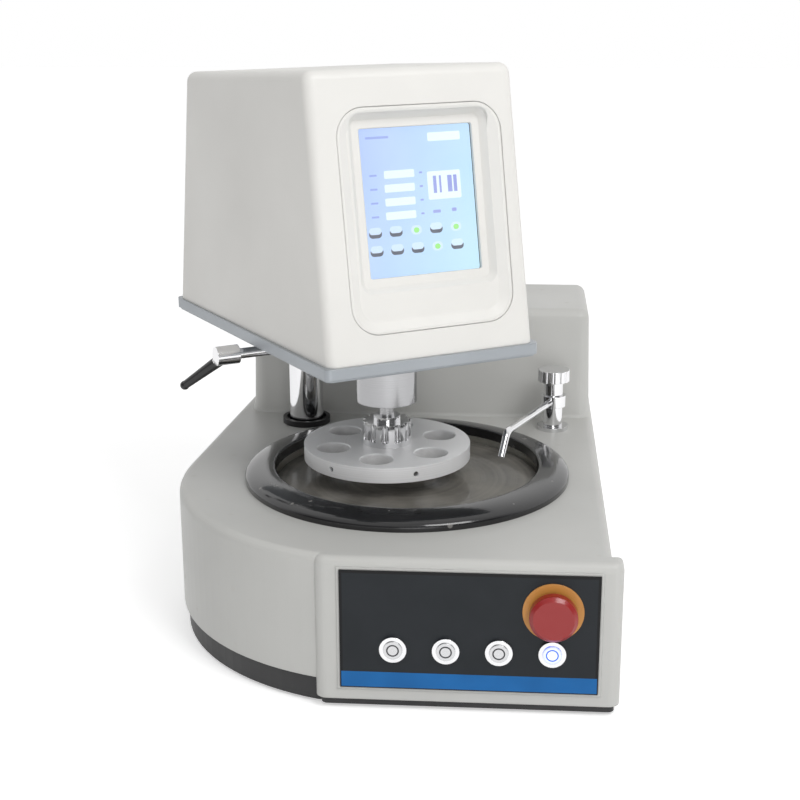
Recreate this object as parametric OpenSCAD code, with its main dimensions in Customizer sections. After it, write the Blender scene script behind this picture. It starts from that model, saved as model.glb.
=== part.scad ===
// Metallographic polishing machine with a powered specimen head.
// Millimetres. +Z is up and -Y is the operator's side. Z = 0 is the bench under the rubber feet.
// The base is drawn about the platen's axis, the head about its column, with the head's front at -Y there.

/* [Layout] */
// Platen axis, across, from the middle of the machine
platen_x = 24; // [20:0.5:32]
// Platen axis, front to back, from the middle of the machine
platen_y = -60; // [-66:0.5:-54]
// Height of the casing's flat top above the bench
casing_top = 139; // [134:1:150]
// Turn of the head about its column, seen from above
head_yaw = 30.6; // [24:0.2:36]
// Column, across, from the platen axis
column_x = -119.2; // [-122:0.2:-117]
// Column, behind the platen axis
column_y = 159.5; // [157:0.5:162]
// Column to specimen spindle, along the head
arm_len = 178; // [170:1:186]
// Specimen spindle, to the right of the head's middle line
spindle_side = 10; // [4:1:14]

/* [Casing] */
// Radius of the round left side about the platen axis
casing_r = 217; // [212:1:224]
// Platen axis to the right side
casing_right = 186; // [184:1:200]
// Platen axis to the front face
casing_front = 214; // [212:1:224]
// Platen axis to the left side at the back
casing_back_left = 188; // [184:1:198]
// Where the flat front box ends on the left of the platen axis
front_box_left = 63; // [56:0.5:72]
// How far the front box stands out past the right side
box_out = 9; // [6:0.5:10]
// Wall of the moulded casing
casing_wall = 4; // [3:0.5:5]
// Rounding of the casing's top edges
casing_edge_r = 8; // [5:0.5:10]
// Height of the casing's lower edge above the bench at the front box
casing_bottom = 10; // [9:0.5:14]
// Height of the casing's lower edge along the round side
skirt_lift = 26; // [20:1:32]
// Top of the rear housing above the bench
rear_top = 256; // [244:1:258]
// Column axis to the front of the rear housing
rear_gap = 28.5; // [28:0.5:36]
// Room behind the motor for pipes and wires
rear_space = 14; // [12:1:30]
// Half width of the rear housing
rear_half_w = 182; // [174:1:184]
// Rounding of the rear housing's edges
rear_edge_r = 10; // [6:1:14]
// Lean of the rear housing's walls over its height
rear_draft = 3; // [1:0.5:5]
// Flare at the foot of the rear housing
rear_flare = 4; // [3:0.5:5]

/* [Chassis] */
// Height of the rubber feet
foot_h = 3; // [2:0.5:4]
// Diameter of a rubber foot
foot_d = 30; // [22:1:36]
// Sheet of the base pan
pan_t = 3; // [2:0.5:3.5]
// Top edge of the base pan's wall above the bench
pan_top = 34; // [33:1:42]
// Gap between the base pan's wall and the casing
seat_gap = 0.2; // [0.1:0.05:0.4]

/* [Bowl] */
// Outer radius of the splash ring
ring_r = 155; // [150:1:158]
// Height of the splash ring above the casing
ring_h = 12.5; // [10:0.5:13]
// Radius of the splash ring's lip
lip_r = 129; // [128:0.5:132]
// Inner radius of the basin
basin_r = 132; // [131:0.5:134]
// Wall of the basin
basin_wall = 2.5; // [2:0.25:3]
// Lowest inside height of the basin's floor
basin_floor = 94; // [88:1:98]
// Radius of the polishing disc
disc_r = 125; // [115:1:126]
// Thickness of the polishing disc
disc_t = 2.5; // [1:0.5:3]
// Height of the disc's working face above the bench
disc_top = 135; // [133:0.5:136]
// Thickness of the platen's plate
platen_t = 11; // [9:0.5:12]
// Clearance of a running fit, on radius
run_gap = 0.05; // [0.02:0.01:0.09]
// Clearance between pieces that pass each other
pass_gap = 0.4; // [0.3:0.05:0.6]

/* [Drive] */
// Radius of the platen shaft in its bearings
shaft_r = 15; // [13:0.5:16]
// Radius of the platen's belt pulley
pulley_r = 60; // [54:1:62]
// Radius of the motor's belt pulley
motor_pulley_r = 30; // [26:1:34]
// Height of a belt pulley
pulley_h = 20; // [16:1:21]
// Underside of the belt pulleys above the bench
pulley_z = 28; // [26:1:30]
// Motor axis, to the right of the platen axis
motor_x = 30; // [26:1:34]
// Radius of the motor's body
motor_r = 56; // [50:1:58]
// Height of the motor's body
motor_h = 130; // [110:2:140]

/* [Control panel] */
// Width of the control panel
panel_w = 217; // [210:1:220]
// Height of the control panel
panel_h = 107; // [100:1:108]
// Left edge of the control panel from the platen axis
panel_left = 41; // [38:1:44]
// Lower edge of the control panel above the bench
panel_z = 22; // [19:0.5:24]
// Thickness of the control panel
panel_t = 2; // [1.5:0.25:3]
// Diameter of a push button's bezel
bezel_d = 23; // [22:0.5:26]
// Diameter of a push button's barrel
barrel_d = 19; // [18:0.5:20]
// Diameter of a push button's cap
cap_d = 16; // [14:0.5:17]
// First push button from the panel's left edge
button_in = 45; // [40:1:48]
// Emergency stop and last push button from the panel's right edge
estop_in = 38.8; // [36:0.2:44]
// Height of the push buttons above the bench
button_z = 59; // [54:1:62]
// Travel of a push button
button_travel = 1.5; // [1:0.25:2]
// Diameter of the emergency stop's head
estop_d = 40; // [36:1:42]
// Height of the emergency stop above the bench
estop_z = 96.5; // [94:0.5:98]
// Travel of the emergency stop
estop_travel = 4; // [3:0.5:5]

/* [Water] */
// Tap, to the right of the platen axis
tap_x = 142; // [138:1:146]
// Tap, behind the platen axis
tap_y = 151; // [147:1:154]
// Radius of the tap's body
tap_r = 10; // [9:0.5:11]
// Height of the tap's body above the casing
tap_h = 52; // [46:1:56]
// Diameter of the tap's knob
knob_d = 33; // [28:1:34]
// Diameter of the spout's tube
spout_d = 7; // [6:0.5:8]
// Reach of the spout to its bend
spout_reach = 141; // [130:1:146]
// Rise of the spout to its bend
spout_rise = 7; // [6:0.5:12]
// Reach of the nozzle past the bend
nozzle_out = 15; // [8:1:18]
// Drop of the nozzle from the bend
nozzle_drop = 21.5; // [18:0.5:22]
// Turn of the spout from straight back, seen from above, degrees
spout_turn = -109.4; // [-118:0.2:-104]

/* [Column] */
// Diameter of the column
column_d = 36; // [33:0.5:37]
// Diameter of the collar at the column's foot
collar_d = 50; // [46:1:52]
// Height of the collar
collar_h = 6; // [4:0.5:8]

/* [Head] */
// Underside of the head above the bench
head_z = 270; // [266:1:276]
// Thickness of the head's base plate
plate_t = 12; // [10:0.5:14]
// Column to the front edge of the head
head_front = 300; // [290:1:304]
// Column to the back edge of the head
head_back = 32; // [30:1:38]
// Half width of the head at its front
head_half_front = 104; // [98:1:108]
// Half width of the head at its back
head_half_back = 128; // [120:1:132]
// Height of the cover at its front
cover_front_h = 244; // [236:1:250]
// Height of the cover at its back
cover_back_h = 227; // [218:1:234]
// Lean of the cover's front, degrees
front_lean = 10.5; // [8:0.25:12]
// Wall of the cover
cover_wall = 3.5; // [3:0.25:4.5]
// Rounding of the cover's edges
cover_r = 10; // [8:1:14]
// Width of the screen
screen_w = 109; // [100:1:112]
// Height of the screen
screen_h = 128; // [118:1:130]
// Middle of the screen above the cover's lower edge, along the lean
screen_up = 135; // [130:1:138]

/* [Specimen spindle] */
// Diameter of the sleeve under the head
sleeve_d = 58; // [54:1:60]
// Lower end of the sleeve above the bench
sleeve_bottom = 209; // [207:1:214]
// Diameter of the sliding quill
quill_d = 40; // [36:1:42]
// Diameter of the specimen spindle
spindle_d = 14; // [12:0.5:15]
// Diameter of the quick coupling
hub_d = 47; // [42:1:48]
// Height of the quick coupling
hub_h = 27; // [22:1:28]
// Diameter of the specimen holder
holder_d = 160; // [150:1:162]
// Thickness of the specimen holder
holder_t = 14.5; // [12:0.5:15]
// Underside of the specimen holder above the splash ring, at rest
holder_lift = 1; // [0.8:0.1:1.5]
// Diameter of a specimen hole
specimen_d = 31; // [29:0.5:33]
// Radius of the ring of specimen holes
specimen_ring = 54; // [51:0.5:56]
// Turn of the first specimen hole, degrees
specimen_turn = -95.5; // [-120:0.5:-70]
// Travel of the quill upward
feed_up = 10; // [8:1:11]
// Travel of the quill downward
feed_down = 14; // [10:1:14]

/* [Hidden] */
$fn = 96;
// Overrun of every cut past the face it opens
over = 1;
// Thickness of the slices that a rounded block is drawn through
sliver = 0.02;
// Steps of a rounded edge
edge_steps = 5;
// Faces of the round pieces inside a rounded cover
cover_fn = 32;

// Casing
casing_arc_back = 175;
casing_arc_front = 180 + acos(front_box_left / casing_r);
casing_arc_steps = 24;
corner_steps = 6;
casing_chord = casing_r * sin(casing_arc_front);
plan_r = 14;
back_wall = casing_wall + rear_draft;
motor_gap = 1;
rear_front = column_y + rear_gap;
motor_y = rear_front + back_wall + motor_gap + motor_r;
casing_back = motor_y + motor_r + motor_gap + back_wall + rear_space;
box_plan_r = casing_edge_r + 2 * over;
box_depth = 24;
window_edge = 9;
rim_w = 2.5;
rim_h = 0.8;
flare_h = 11;
bowl_hole_r = basin_r + basin_wall + pass_gap;
tap_shoulder = 2;
stem_r = tap_r - tap_shoulder;

// Chassis
pan_inset = casing_wall + seat_gap;
pan_floor = foot_h + pan_t;
foot_edge = 28;
deck_t = 6;
deck_z = pulley_z + pulley_h + 2 * over;
deck_top = deck_z + deck_t;
deck_half = 88;
deck_leg_r = 8;
deck_leg_in = 12;

// Bowl
flange_w = 11;
lip_w = 3;
ring_foot_h = 3.5;
ring_steps = 14;
tube_gap = 4;
drain_r = 14;
drain_wall = 2.5;
drain_x = -52;
drain_y = 90;
drain_drop = 20;
drain_reach = 22;
drain_step = 1;

// Drive
nose_step = 2.5;
nose_r = shaft_r - nose_step;
platen_under = disc_top - disc_t - platen_t;
platen_rim_w = 8;
platen_rim_h = 5;
platen_hub_r = 30;
platen_hub_h = 14;
platen_hub_low = platen_under - platen_hub_h;
housing_r = 38;
housing_flange_r = 58;
housing_flange_t = 7;
housing_top = platen_hub_low - 3 * over;
bearing_r = 27;
bearing_w = 14;
tube_r = housing_r + tube_gap;
tube_top = platen_under - platen_rim_h;
pulley_lip = 3;
pulley_lip_t = 2;
pulley_groove = 2;
belt_t = 3;
belt_gap = 0.3;
motor_shaft_r = 9;
motor_deck_half = 70;
motor_bore = 24;
motor_foot_t = 8;
terminal_w = 40;
terminal_h = 60;
terminal_d = 22;

// Control panel
buttons = 4;
panel_face = casing_front + panel_t;
bezel_t = 3;
cap_proud = 1.2;
cap_len = 14;
barrel_len = 30;
estop_label_d = 51;
estop_label_t = 1;
estop_collar_t = 1.5;
estop_head_t = 11;
estop_stem_r = 8;
estop_stem_in = 40;
estop_seat = 5;
estop_block_w = 30;
estop_block_h = 38;
estop_block_d = 52;
estop_chamfer = 3;
button_x = button_in - panel_left;
estop_x = panel_w - panel_left - estop_in;
button_pitch = (estop_x - button_x) / (buttons - 1);
estop_back = panel_face + estop_label_t + estop_collar_t + estop_travel + pass_gap;

// Water and services
tap_flange_r = 16;
tap_flange_t = 4;
tap_stub_r = 5;
tap_stub_h = 8;
knob_t = 12;
knob_flutes = 16;
knob_flute_r = 1.6;
spout_collar_t = 12;
spout_collar_wall = 3;
spout_lift = 25;
spout_z = casing_top + spout_lift;
spout_bend_r = 12;
elbow_swell = 0.1;
pipe_r = 6;
pipe_z = 84;
inlet_r = 10.4;
inlet_step = 2;
inlet_len = 18;
back_t = 2;
back_half_w = 162;
back_low = 44;
back_high = 226;
back_lap = 10;
screw_r = 4;
screw_t = 2.4;
screw_in = 6;
vent_w = 60;
vent_h = 4;
vent_pitch = 10;
vent_rows = 8;
vent_x = 96;
vent_z = 96;
socket_w = 48;
socket_h = 30;
socket_d = 26;
socket_x = -100;
socket_z = 196;
fin_t = 3;
fin_pitch = 8;
fin_d = 10;

// Column and head
column_r = column_d / 2;
column_at = [column_x, column_y];
spindle_at = [
    column_x + spindle_side * cos(head_yaw) + arm_len * sin(head_yaw),
    column_y + spindle_side * sin(head_yaw) - arm_len * cos(head_yaw)
];
socket_tube_r = 28;
socket_flange_r = 44;
socket_flange_t = 7;
box_gap = 10.5;
box_left = back_wall + box_gap - rear_half_w;
box_w = 88;
box_y = column_y + socket_flange_r + box_gap;
box_d = casing_back - back_wall - box_gap - box_y;
box_h = 140;
collar_wall = 4;
collar_floor = 2;
pivot_step = 6;
pivot_r = column_r - pivot_step;
thrust_r = 26;
thrust_t = 8;
thrust_gap = 0.3;
plate_top = head_z + plate_t;
plate_r = 6;
plate_chamfer = 2;
bush_wall = 3;
bush_len = 16;
hub_wall = 6;
hub_r = pivot_r + bush_wall + hub_wall;
hub_foot_w = 84;
hub_foot_front = 36;
hub_foot_t = 8;
swing_hub_h = 42;
hub_top = plate_top + swing_hub_h;
cap_lap = 5;
cap_r = pivot_r + cap_lap;
cap_t = 4;
cover_in = 3;
cover_side_lean = 1.5;
cover_back_side_lean = 9;
cover_back_lean = 18;

// Screen
frame_w = 158;
frame_h = 193;
frame_r = 26;
frame_up = 120;
frame_side = 4;
frame_slope = 8;
frame_rim = 3;
frame_deep = 5;
inner_w = 133;
inner_h = 153;
inner_r = 10;
inner_slope = 5;
inner_deep = 11;
screen_side = 5;
tray_t = 3;
screen_r = 2;
glass_lap = 3;
glass_t = 2;
module_lap = 8;
module_t = 24;

// Specimen spindle
sleeve_r = sleeve_d / 2;
sleeve_flange_r = 38;
sleeve_flange_t = 8;
quill_r = quill_d / 2;
quill_in = 5;
quill_low = sleeve_bottom + quill_in;
quill_out = 36;
quill_top = plate_top + quill_out;
quill_bearing_w = 12;
spindle_r = spindle_d / 2;
quill_bearing_t = 6;
quill_bearing_r = spindle_r + quill_bearing_t;
holder_z = casing_top + ring_h + holder_lift;
holder_top = holder_z + holder_t;
holder_r = holder_d / 2;
spigot_r = 12;
specimens = 6;
specimen_chamfer = 0.8;
hub_flutes = 12;
hub_flute_r = 3;
hub_neck_h = 5;
set_screw_r = 2.5;
set_screw_len = 8;
set_screw_in = 1.5;
head_pulley_lift = 48;
head_pulley_z = plate_top + head_pulley_lift;
head_pulley_r = 32;
head_pulley_h = 18;
head_pulley_hub_r = 13;
bridge_gap = 3;
bridge_z = head_pulley_z + head_pulley_h + bridge_gap;
bridge_t = 6;
bridge_left = -72;
bridge_right = 48;
bridge_front = -224;
bridge_back = -40;
bridge_leg_r = 6;
bridge_leg_in = 8;
head_motor_gap = 95;
head_motor_r = 30;
head_gear_r = 35;
head_gear_h = 40;
head_motor_h = 68;
head_motor_pulley_r = 22;
head_motor_shaft_r = 6;
head_motor_bore = 16;
load_x = -48;
load_r = 16;
load_h = 80;
load_rod_r = 5;
load_rod_in = 45;
yoke_low = sleeve_flange_t + feed_down + 2 * over;
yoke_t = 10;
yoke_r = 27;
yoke_w = 22;

// Quill clamp
clamp_gap = 2;
clamp_t = 16;
clamp_low = head_z - clamp_gap - clamp_t;
clamp_wall = 9;
ear_gap = 3;
ear_w = 20;
ear_out = 54;
bolt_out = 44;
bolt_z = clamp_low + clamp_t / 2;
bolt_r = 5;
lever_hub_r = 9;
lever_hub_len = 22;
lever_clear = 7;
arm_out = 30;
arm_back = 37.5;
arm_down = 35;
arm_root_r = 6;
arm_tip_r = 4.5;
arm_tip_step = 0.5;
lever_y = bolt_out - arm_len;
lever_share = (head_front + lever_y) / (head_front + head_back);
lever_in = -(head_half_front + (head_half_back - head_half_front) * lever_share) - lever_clear;

// Places
module at_platen(x = 0, y = 0, z = 0) {
    translate([platen_x + x, platen_y + y, z]) children();
}
module at_head() {
    at_platen(column_at[0], column_at[1]) rotate([0, 0, head_yaw]) children();
}
module at_spindle() {
    at_head() translate([spindle_side, -arm_len, 0]) children();
}
// The leaning front of the head's cover: X to the right, Y up the lean, Z out of it
module at_face() {
    at_head() translate([0, cover_in - head_front, plate_top]) rotate([90 - front_lean, 0, 0]) children();
}
module at_front(x, z) {
    at_platen(x, 0, z) rotate([90, 0, 0]) children();
}

// Helpers
function arc_points(r, start, end, steps) =
    [for (i = [0:steps]) let (t = start + (end - start) * i / steps) [r * cos(t), r * sin(t)]];

module disk(r, low, high) {
    translate([0, 0, low]) cylinder(r = r, h = high - low);
}
module tube(outer, inner, low, high) {
    difference() {
        disk(outer, low, high);
        disk(inner, low - over, high + over);
    }
}
module bar(p, q, r1, r2) {
    d = q - p;
    translate(p)
        rotate([0, acos(d[2] / norm(d)), atan2(d[1], d[0])])
            cylinder(r1 = r1, r2 = r2, h = norm(d));
}
module block(w, d, low, high) {
    translate([-w / 2, -d / 2, low]) cube([w, d, high - low]);
}
module round_plate(w, h, r, low, high) {
    translate([0, 0, low]) linear_extrude(high - low) {
        square([w, h - 2 * r], center = true);
        square([w - 2 * r, h], center = true);
        for (x = [-1, 1], y = [-1, 1]) translate([x * (w / 2 - r), y * (h / 2 - r)]) circle(r = r);
    }
}
module round_corners(r) {
    offset(r = r) offset(delta = -r) children();
}
// A block with an outline, a rounded top edge, and walls that lean in but at the back
module soft_block(outline, low, high, r, inset = 0, lean = 0) {
    hull() {
        translate([0, 0, low]) linear_extrude(sliver) polygon(outline(inset));
        for (i = [0:edge_steps]) let (t = 90 * i / edge_steps)
            translate([0, lean, high - r + r * sin(t) - sliver])
                linear_extrude(sliver) polygon(outline(inset + lean + r * (1 - cos(t))));
    }
}

// Outlines of the casing about the platen's axis, set in by d
function corner(x, y, r, start) =
    [for (p = arc_points(r, start, start + 90, corner_steps)) [x + p[0], y + p[1]]];
body_outline = function(d) concat(
    arc_points(casing_r - d, casing_arc_back, casing_arc_front, casing_arc_steps),
    [[casing_right - d, casing_chord + d]],
    corner(casing_right - plan_r, casing_back - plan_r, plan_r - d, 0),
    corner(plan_r - casing_back_left, casing_back - plan_r, plan_r - d, 90)
);
box_outline = function(d) concat(
    corner(box_plan_r - front_box_left, box_plan_r - casing_front, box_plan_r - d, 180),
    corner(casing_right + box_out - box_plan_r, box_plan_r - casing_front, box_plan_r - d, 270),
    [[casing_right + box_out - d, box_depth - casing_front - d],
    [d - front_box_left, box_depth - casing_front - d]]
);
rear_outline = function(d) concat(
    corner(plan_r - rear_half_w, rear_front + plan_r, plan_r - d, 180),
    corner(rear_half_w - plan_r, rear_front + plan_r, plan_r - d, 270),
    corner(rear_half_w - plan_r, casing_back - plan_r, plan_r - d, 0),
    corner(plan_r - rear_half_w, casing_back - plan_r, plan_r - d, 90)
);

// Casing and chassis
module casing() color("gainsboro") at_platen() difference() {
    union() {
        soft_block(body_outline, skirt_lift, casing_top, casing_edge_r);
        soft_block(box_outline, casing_bottom, casing_top, casing_edge_r);
        soft_block(rear_outline, casing_top - casing_edge_r, rear_top, rear_edge_r, 0, rear_draft);
        soft_block(rear_outline, casing_top - casing_edge_r, casing_top + flare_h, 0, -rear_flare, rear_flare);
        panel_rim();
    }
    translate([0, 0, casing_bottom - over]) linear_extrude(casing_top - casing_wall - casing_bottom + over)
        polygon(body_outline(casing_wall));
    translate([casing_wall - front_box_left, casing_wall - casing_front, casing_bottom - over])
        cube([front_box_left + box_out + casing_right - 2 * casing_wall, box_depth - 2 * casing_wall,
            casing_top - casing_wall - casing_bottom + over]);
    translate([0, 0, casing_top - casing_wall - over])
        linear_extrude(rear_top - rear_edge_r - casing_top + casing_wall + over) polygon(rear_outline(back_wall));
    disk(bowl_hole_r, casing_top - casing_wall - over, casing_top + over);
    translate([tap_x, tap_y, 0]) disk(stem_r + pass_gap, casing_top - casing_wall - over, casing_top + over);
    translate(column_at) disk(column_r + pass_gap, casing_top - casing_wall - over, casing_top + over);
    panel_window();
    translate([back_lap - back_half_w, casing_back - back_wall - over, back_low + back_lap])
        cube([2 * (back_half_w - back_lap), back_wall + 2 * over, back_high - back_low - 2 * back_lap]);
    translate([-casing_r, casing_back, 0]) cube([2 * casing_r, casing_wall + rear_flare, rear_top]);
}
module panel_rim() {
    translate([-panel_left - rim_w, -casing_front - rim_h, panel_z - rim_w])
        cube([panel_w + 2 * rim_w, rim_h + casing_wall / 2, panel_h + 2 * rim_w]);
}
module panel_window() {
    translate([-panel_left, -casing_front - rim_h - over, panel_z])
        cube([panel_w, rim_h + over, panel_h]);
    translate([window_edge - panel_left, -casing_front - over, panel_z + window_edge])
        cube([panel_w - 2 * window_edge, casing_wall + 2 * over, panel_h - 2 * window_edge]);
}
module pan_outline(inset) {
    polygon(body_outline(inset));
    polygon(box_outline(inset));
}
module base_pan() color("dimgray") at_platen() difference() {
    translate([0, 0, foot_h]) linear_extrude(pan_top - foot_h) pan_outline(pan_inset);
    translate([0, 0, pan_floor]) linear_extrude(pan_top - pan_floor + over) pan_outline(pan_inset + pan_t);
}
module feet() color("black") at_platen()
    for (p = [
        [foot_edge - front_box_left, foot_edge - casing_front],
        [casing_right - foot_edge, foot_edge - casing_front],
        [foot_edge - casing_r, 0],
        [casing_right - foot_edge, casing_back - foot_edge],
        [foot_edge - casing_back_left, casing_back - foot_edge]
    ]) translate(p) disk(foot_d / 2, 0, foot_h);

module back_plate() color("lightgray") at_platen() difference() {
    translate([-back_half_w, casing_back, back_low])
        cube([2 * back_half_w, back_t, back_high - back_low]);
    for (i = [0:vent_rows - 1])
        translate([vent_x - vent_w / 2, casing_back - over, vent_z + i * vent_pitch])
            cube([vent_w, back_t + 2 * over, vent_h]);
    back_hole(drain_x, pipe_axis(), drain_r + pass_gap);
    back_hole(tap_x, pipe_z, pipe_r + pass_gap);
    translate([socket_x - socket_w / 2 + back_t, casing_back - over, socket_z - socket_h / 2 + back_t])
        cube([socket_w - 2 * back_t, back_t + 2 * over, socket_h - 2 * back_t]);
    for (p = screw_places()) back_hole(p[0], p[1], screw_r / 2 + pass_gap);
}
function pipe_axis() = basin_floor - basin_wall - drain_drop;
function screw_places() = [
    for (x = [-1, 0, 1], z = [back_low + screw_in, back_high - screw_in])
        [x * (back_half_w - screw_in), z]
];
module back_hole(x, z, r) {
    translate([x, casing_back - over, z]) rotate([-90, 0, 0]) cylinder(r = r, h = back_t + 2 * over);
}
module back_screws() color("silver") at_platen()
    for (p = screw_places()) translate([p[0], casing_back, p[1]]) rotate([-90, 0, 0]) {
        cylinder(r = screw_r / 2, h = back_t);
        translate([0, 0, back_t]) cylinder(r = screw_r, h = screw_t);
    }

// Control panel
module control_panel() color("darkslategray") at_platen() difference() {
    translate([-panel_left, -panel_face, panel_z]) cube([panel_w, panel_t, panel_h]);
    for (i = [0:buttons - 1]) front_hole(button_x + i * button_pitch, button_z, barrel_d / 2 + run_gap);
    front_hole(estop_x, estop_z, estop_stem_r + pass_gap);
}
module front_hole(x, z, r) {
    translate([x, over - casing_front, z]) rotate([90, 0, 0]) cylinder(r = r, h = panel_t + 2 * over);
}
module estop_label() color("orange") at_front(estop_x, estop_z) {
    tube(estop_label_d / 2, estop_stem_r + pass_gap, panel_face, panel_face + estop_label_t);
    tube(estop_stem_r + 2 * estop_label_t + pass_gap, estop_stem_r + pass_gap,
        panel_face + estop_label_t, panel_face + estop_label_t + estop_collar_t);
}
module estop_block() color("dimgray") at_front(estop_x, estop_z) difference() {
    block(estop_block_w, estop_block_h, casing_front - estop_block_d, casing_front);
    disk(estop_stem_r + run_gap, casing_front - estop_stem_in - estop_travel - 2 * over, casing_front + over);
}
module estop_stem() color("gray") at_front(estop_x, estop_z)
    disk(estop_stem_r, casing_front - estop_stem_in, estop_back + estop_seat);
module estop_head() color("firebrick") at_front(estop_x, estop_z) difference() {
    union() {
        disk(estop_d / 2, estop_back, estop_back + estop_head_t - estop_chamfer);
        translate([0, 0, estop_back + estop_head_t - estop_chamfer])
            cylinder(r1 = estop_d / 2, r2 = estop_d / 2 - estop_chamfer, h = estop_chamfer);
    }
    disk(estop_stem_r + run_gap, estop_back - over, estop_back + estop_seat);
}
module button_bezels() color("silver")
    for (i = [0:buttons - 1]) at_front(button_x + i * button_pitch, button_z) difference() {
        union() {
            disk(bezel_d / 2, panel_face, panel_face + bezel_t);
            disk(barrel_d / 2, panel_face - barrel_len, panel_face + bezel_t);
        }
        disk(cap_d / 2 + run_gap, panel_face + bezel_t - cap_len - button_travel, panel_face + bezel_t + over);
    }
module button_cap(i) color(i == buttons - 1 ? "deepskyblue" : "silver") at_front(button_x + i * button_pitch, button_z)
    disk(cap_d / 2, panel_face + bezel_t + cap_proud - cap_len, panel_face + bezel_t + cap_proud);

// Bowl
module basin() color("whitesmoke") at_platen() difference() {
    rotate_extrude() polygon([
        [tube_r, basin_floor - basin_wall], [basin_r + basin_wall, basin_floor - basin_wall],
        [basin_r + basin_wall, casing_top], [basin_r + basin_wall + flange_w, casing_top],
        [basin_r + basin_wall + flange_w, casing_top + basin_wall], [basin_r, casing_top + basin_wall],
        [basin_r, basin_floor], [tube_r + basin_wall, basin_floor],
        [tube_r + basin_wall, tube_top], [tube_r, tube_top]
    ]);
    translate([drain_x, drain_y, 0]) disk(drain_r - drain_wall, basin_floor - basin_wall - over, basin_floor + over);
}
module splash_ring() color("black") at_platen() rotate_extrude() polygon(concat(
    [[ring_r, casing_top]],
    [for (i = [0:ring_steps]) let (t = 90 * i / ring_steps)
        [lip_r + (ring_r - lip_r) * cos(t), casing_top + ring_foot_h + (ring_h - ring_foot_h) * sin(t)]],
    [for (i = [1:ring_steps / 2]) let (t = 90 + 180 * i / ring_steps)
        [lip_r + lip_w * cos(t), casing_top + ring_h - lip_w / 2 + lip_w / 2 * sin(t)]],
    [[lip_r - lip_w, casing_top + basin_wall], [basin_r + basin_wall + flange_w + seat_gap, casing_top + basin_wall],
        [basin_r + basin_wall + flange_w + seat_gap, casing_top]]
));
// The end of a pipe outside the back plate: a shoulder that steps down to the spigot a hose goes over
module spigot(r, step, start, reach) {
    disk(r + step, start, over);
    translate([0, 0, over]) cylinder(r1 = r + step, r2 = r, h = step);
    disk(r, over + step, reach);
}
module drain_pipe() color("gray") at_platen() translate([drain_x, drain_y, 0]) difference() {
    union() {
        disk(drain_r, pipe_axis(), basin_floor - basin_wall);
        translate([0, 0, pipe_axis()]) sphere(r = drain_r);
        translate([0, casing_back + back_t - drain_y, pipe_axis()]) rotate([-90, 0, 0])
            spigot(drain_r - drain_step, drain_step, drain_y - casing_back - back_t, drain_reach);
    }
    disk(drain_r - drain_wall, pipe_axis(), basin_floor - basin_wall + over);
    translate([0, 0, pipe_axis()]) sphere(r = drain_r - drain_wall);
    translate([0, 0, pipe_axis()]) rotate([-90, 0, 0])
        cylinder(r = drain_r - drain_wall, h = casing_back + back_t + drain_reach - drain_y + over);
}

// Platen and its drive
module drive_deck() color("slategray") at_platen() {
    deck(0, 0, deck_half, bearing_r - 2 * over);
    deck(motor_x, motor_y, motor_deck_half, motor_shaft_r + 2 * over);
}
module deck(x, y, half, hole_r) {
    translate([x, y, 0]) {
        difference() {
            block(2 * half, 2 * half, deck_z, deck_top);
            disk(hole_r, deck_z - over, deck_top + over);
        }
        for (i = [-1, 1], j = [-1, 1])
            translate([i * (half - deck_leg_in), j * (half - deck_leg_in), 0]) disk(deck_leg_r, pan_floor, deck_z);
    }
}
module bearing_housing() color("silver") at_platen() difference() {
    union() {
        disk(housing_flange_r, deck_top, deck_top + housing_flange_t);
        disk(housing_r, deck_top, housing_top);
    }
    disk(bearing_r + run_gap, deck_top - over, housing_top + over);
}
module platen_bearings() color("darkgray") at_platen() {
    tube(bearing_r, shaft_r + run_gap, deck_top, deck_top + bearing_w);
    tube(bearing_r, shaft_r + run_gap, housing_top - bearing_w, housing_top);
}
module platen() color("silver") at_platen() rotate_extrude() polygon([
    [nose_r + run_gap, platen_hub_low], [platen_hub_r, platen_hub_low], [platen_hub_r, platen_under],
    [disc_r - platen_rim_w, platen_under], [disc_r - platen_rim_w, platen_under - platen_rim_h],
    [disc_r, platen_under - platen_rim_h], [disc_r, disc_top - disc_t], [nose_r + run_gap, disc_top - disc_t]
]);
module polishing_disc() color("rosybrown") at_platen() disk(disc_r, disc_top - disc_t, disc_top);
module platen_shaft() color("lightslategray") at_platen() {
    disk(nose_r, pulley_z - over, disc_top - disc_t - over);
    disk(shaft_r, pulley_z + pulley_h, platen_hub_low);
}
module belt_pulley(r, h, bore) {
    rotate_extrude() polygon([
        [bore, 0], [r + pulley_lip, 0], [r + pulley_lip, pulley_lip_t], [r, pulley_lip_t + pulley_groove],
        [r, h - pulley_lip_t - pulley_groove], [r + pulley_lip, h - pulley_lip_t], [r + pulley_lip, h], [bore, h]
    ]);
}
module platen_pulley() color("dimgray") at_platen(0, 0, pulley_z)
    belt_pulley(pulley_r, pulley_h, nose_r + run_gap);
module belt(r1, r2, at, low, high) {
    translate([0, 0, low]) linear_extrude(high - low) difference() {
        hull() {
            circle(r = r1 + belt_gap + belt_t);
            translate(at) circle(r = r2 + belt_gap + belt_t);
        }
        hull() {
            circle(r = r1 + belt_gap);
            translate(at) circle(r = r2 + belt_gap);
        }
    }
}
module drive_belt() color("black") at_platen()
    belt(pulley_r, motor_pulley_r, [motor_x, motor_y],
        pulley_z + pulley_lip_t + pulley_groove, pulley_z + pulley_h - pulley_lip_t - pulley_groove);
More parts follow.
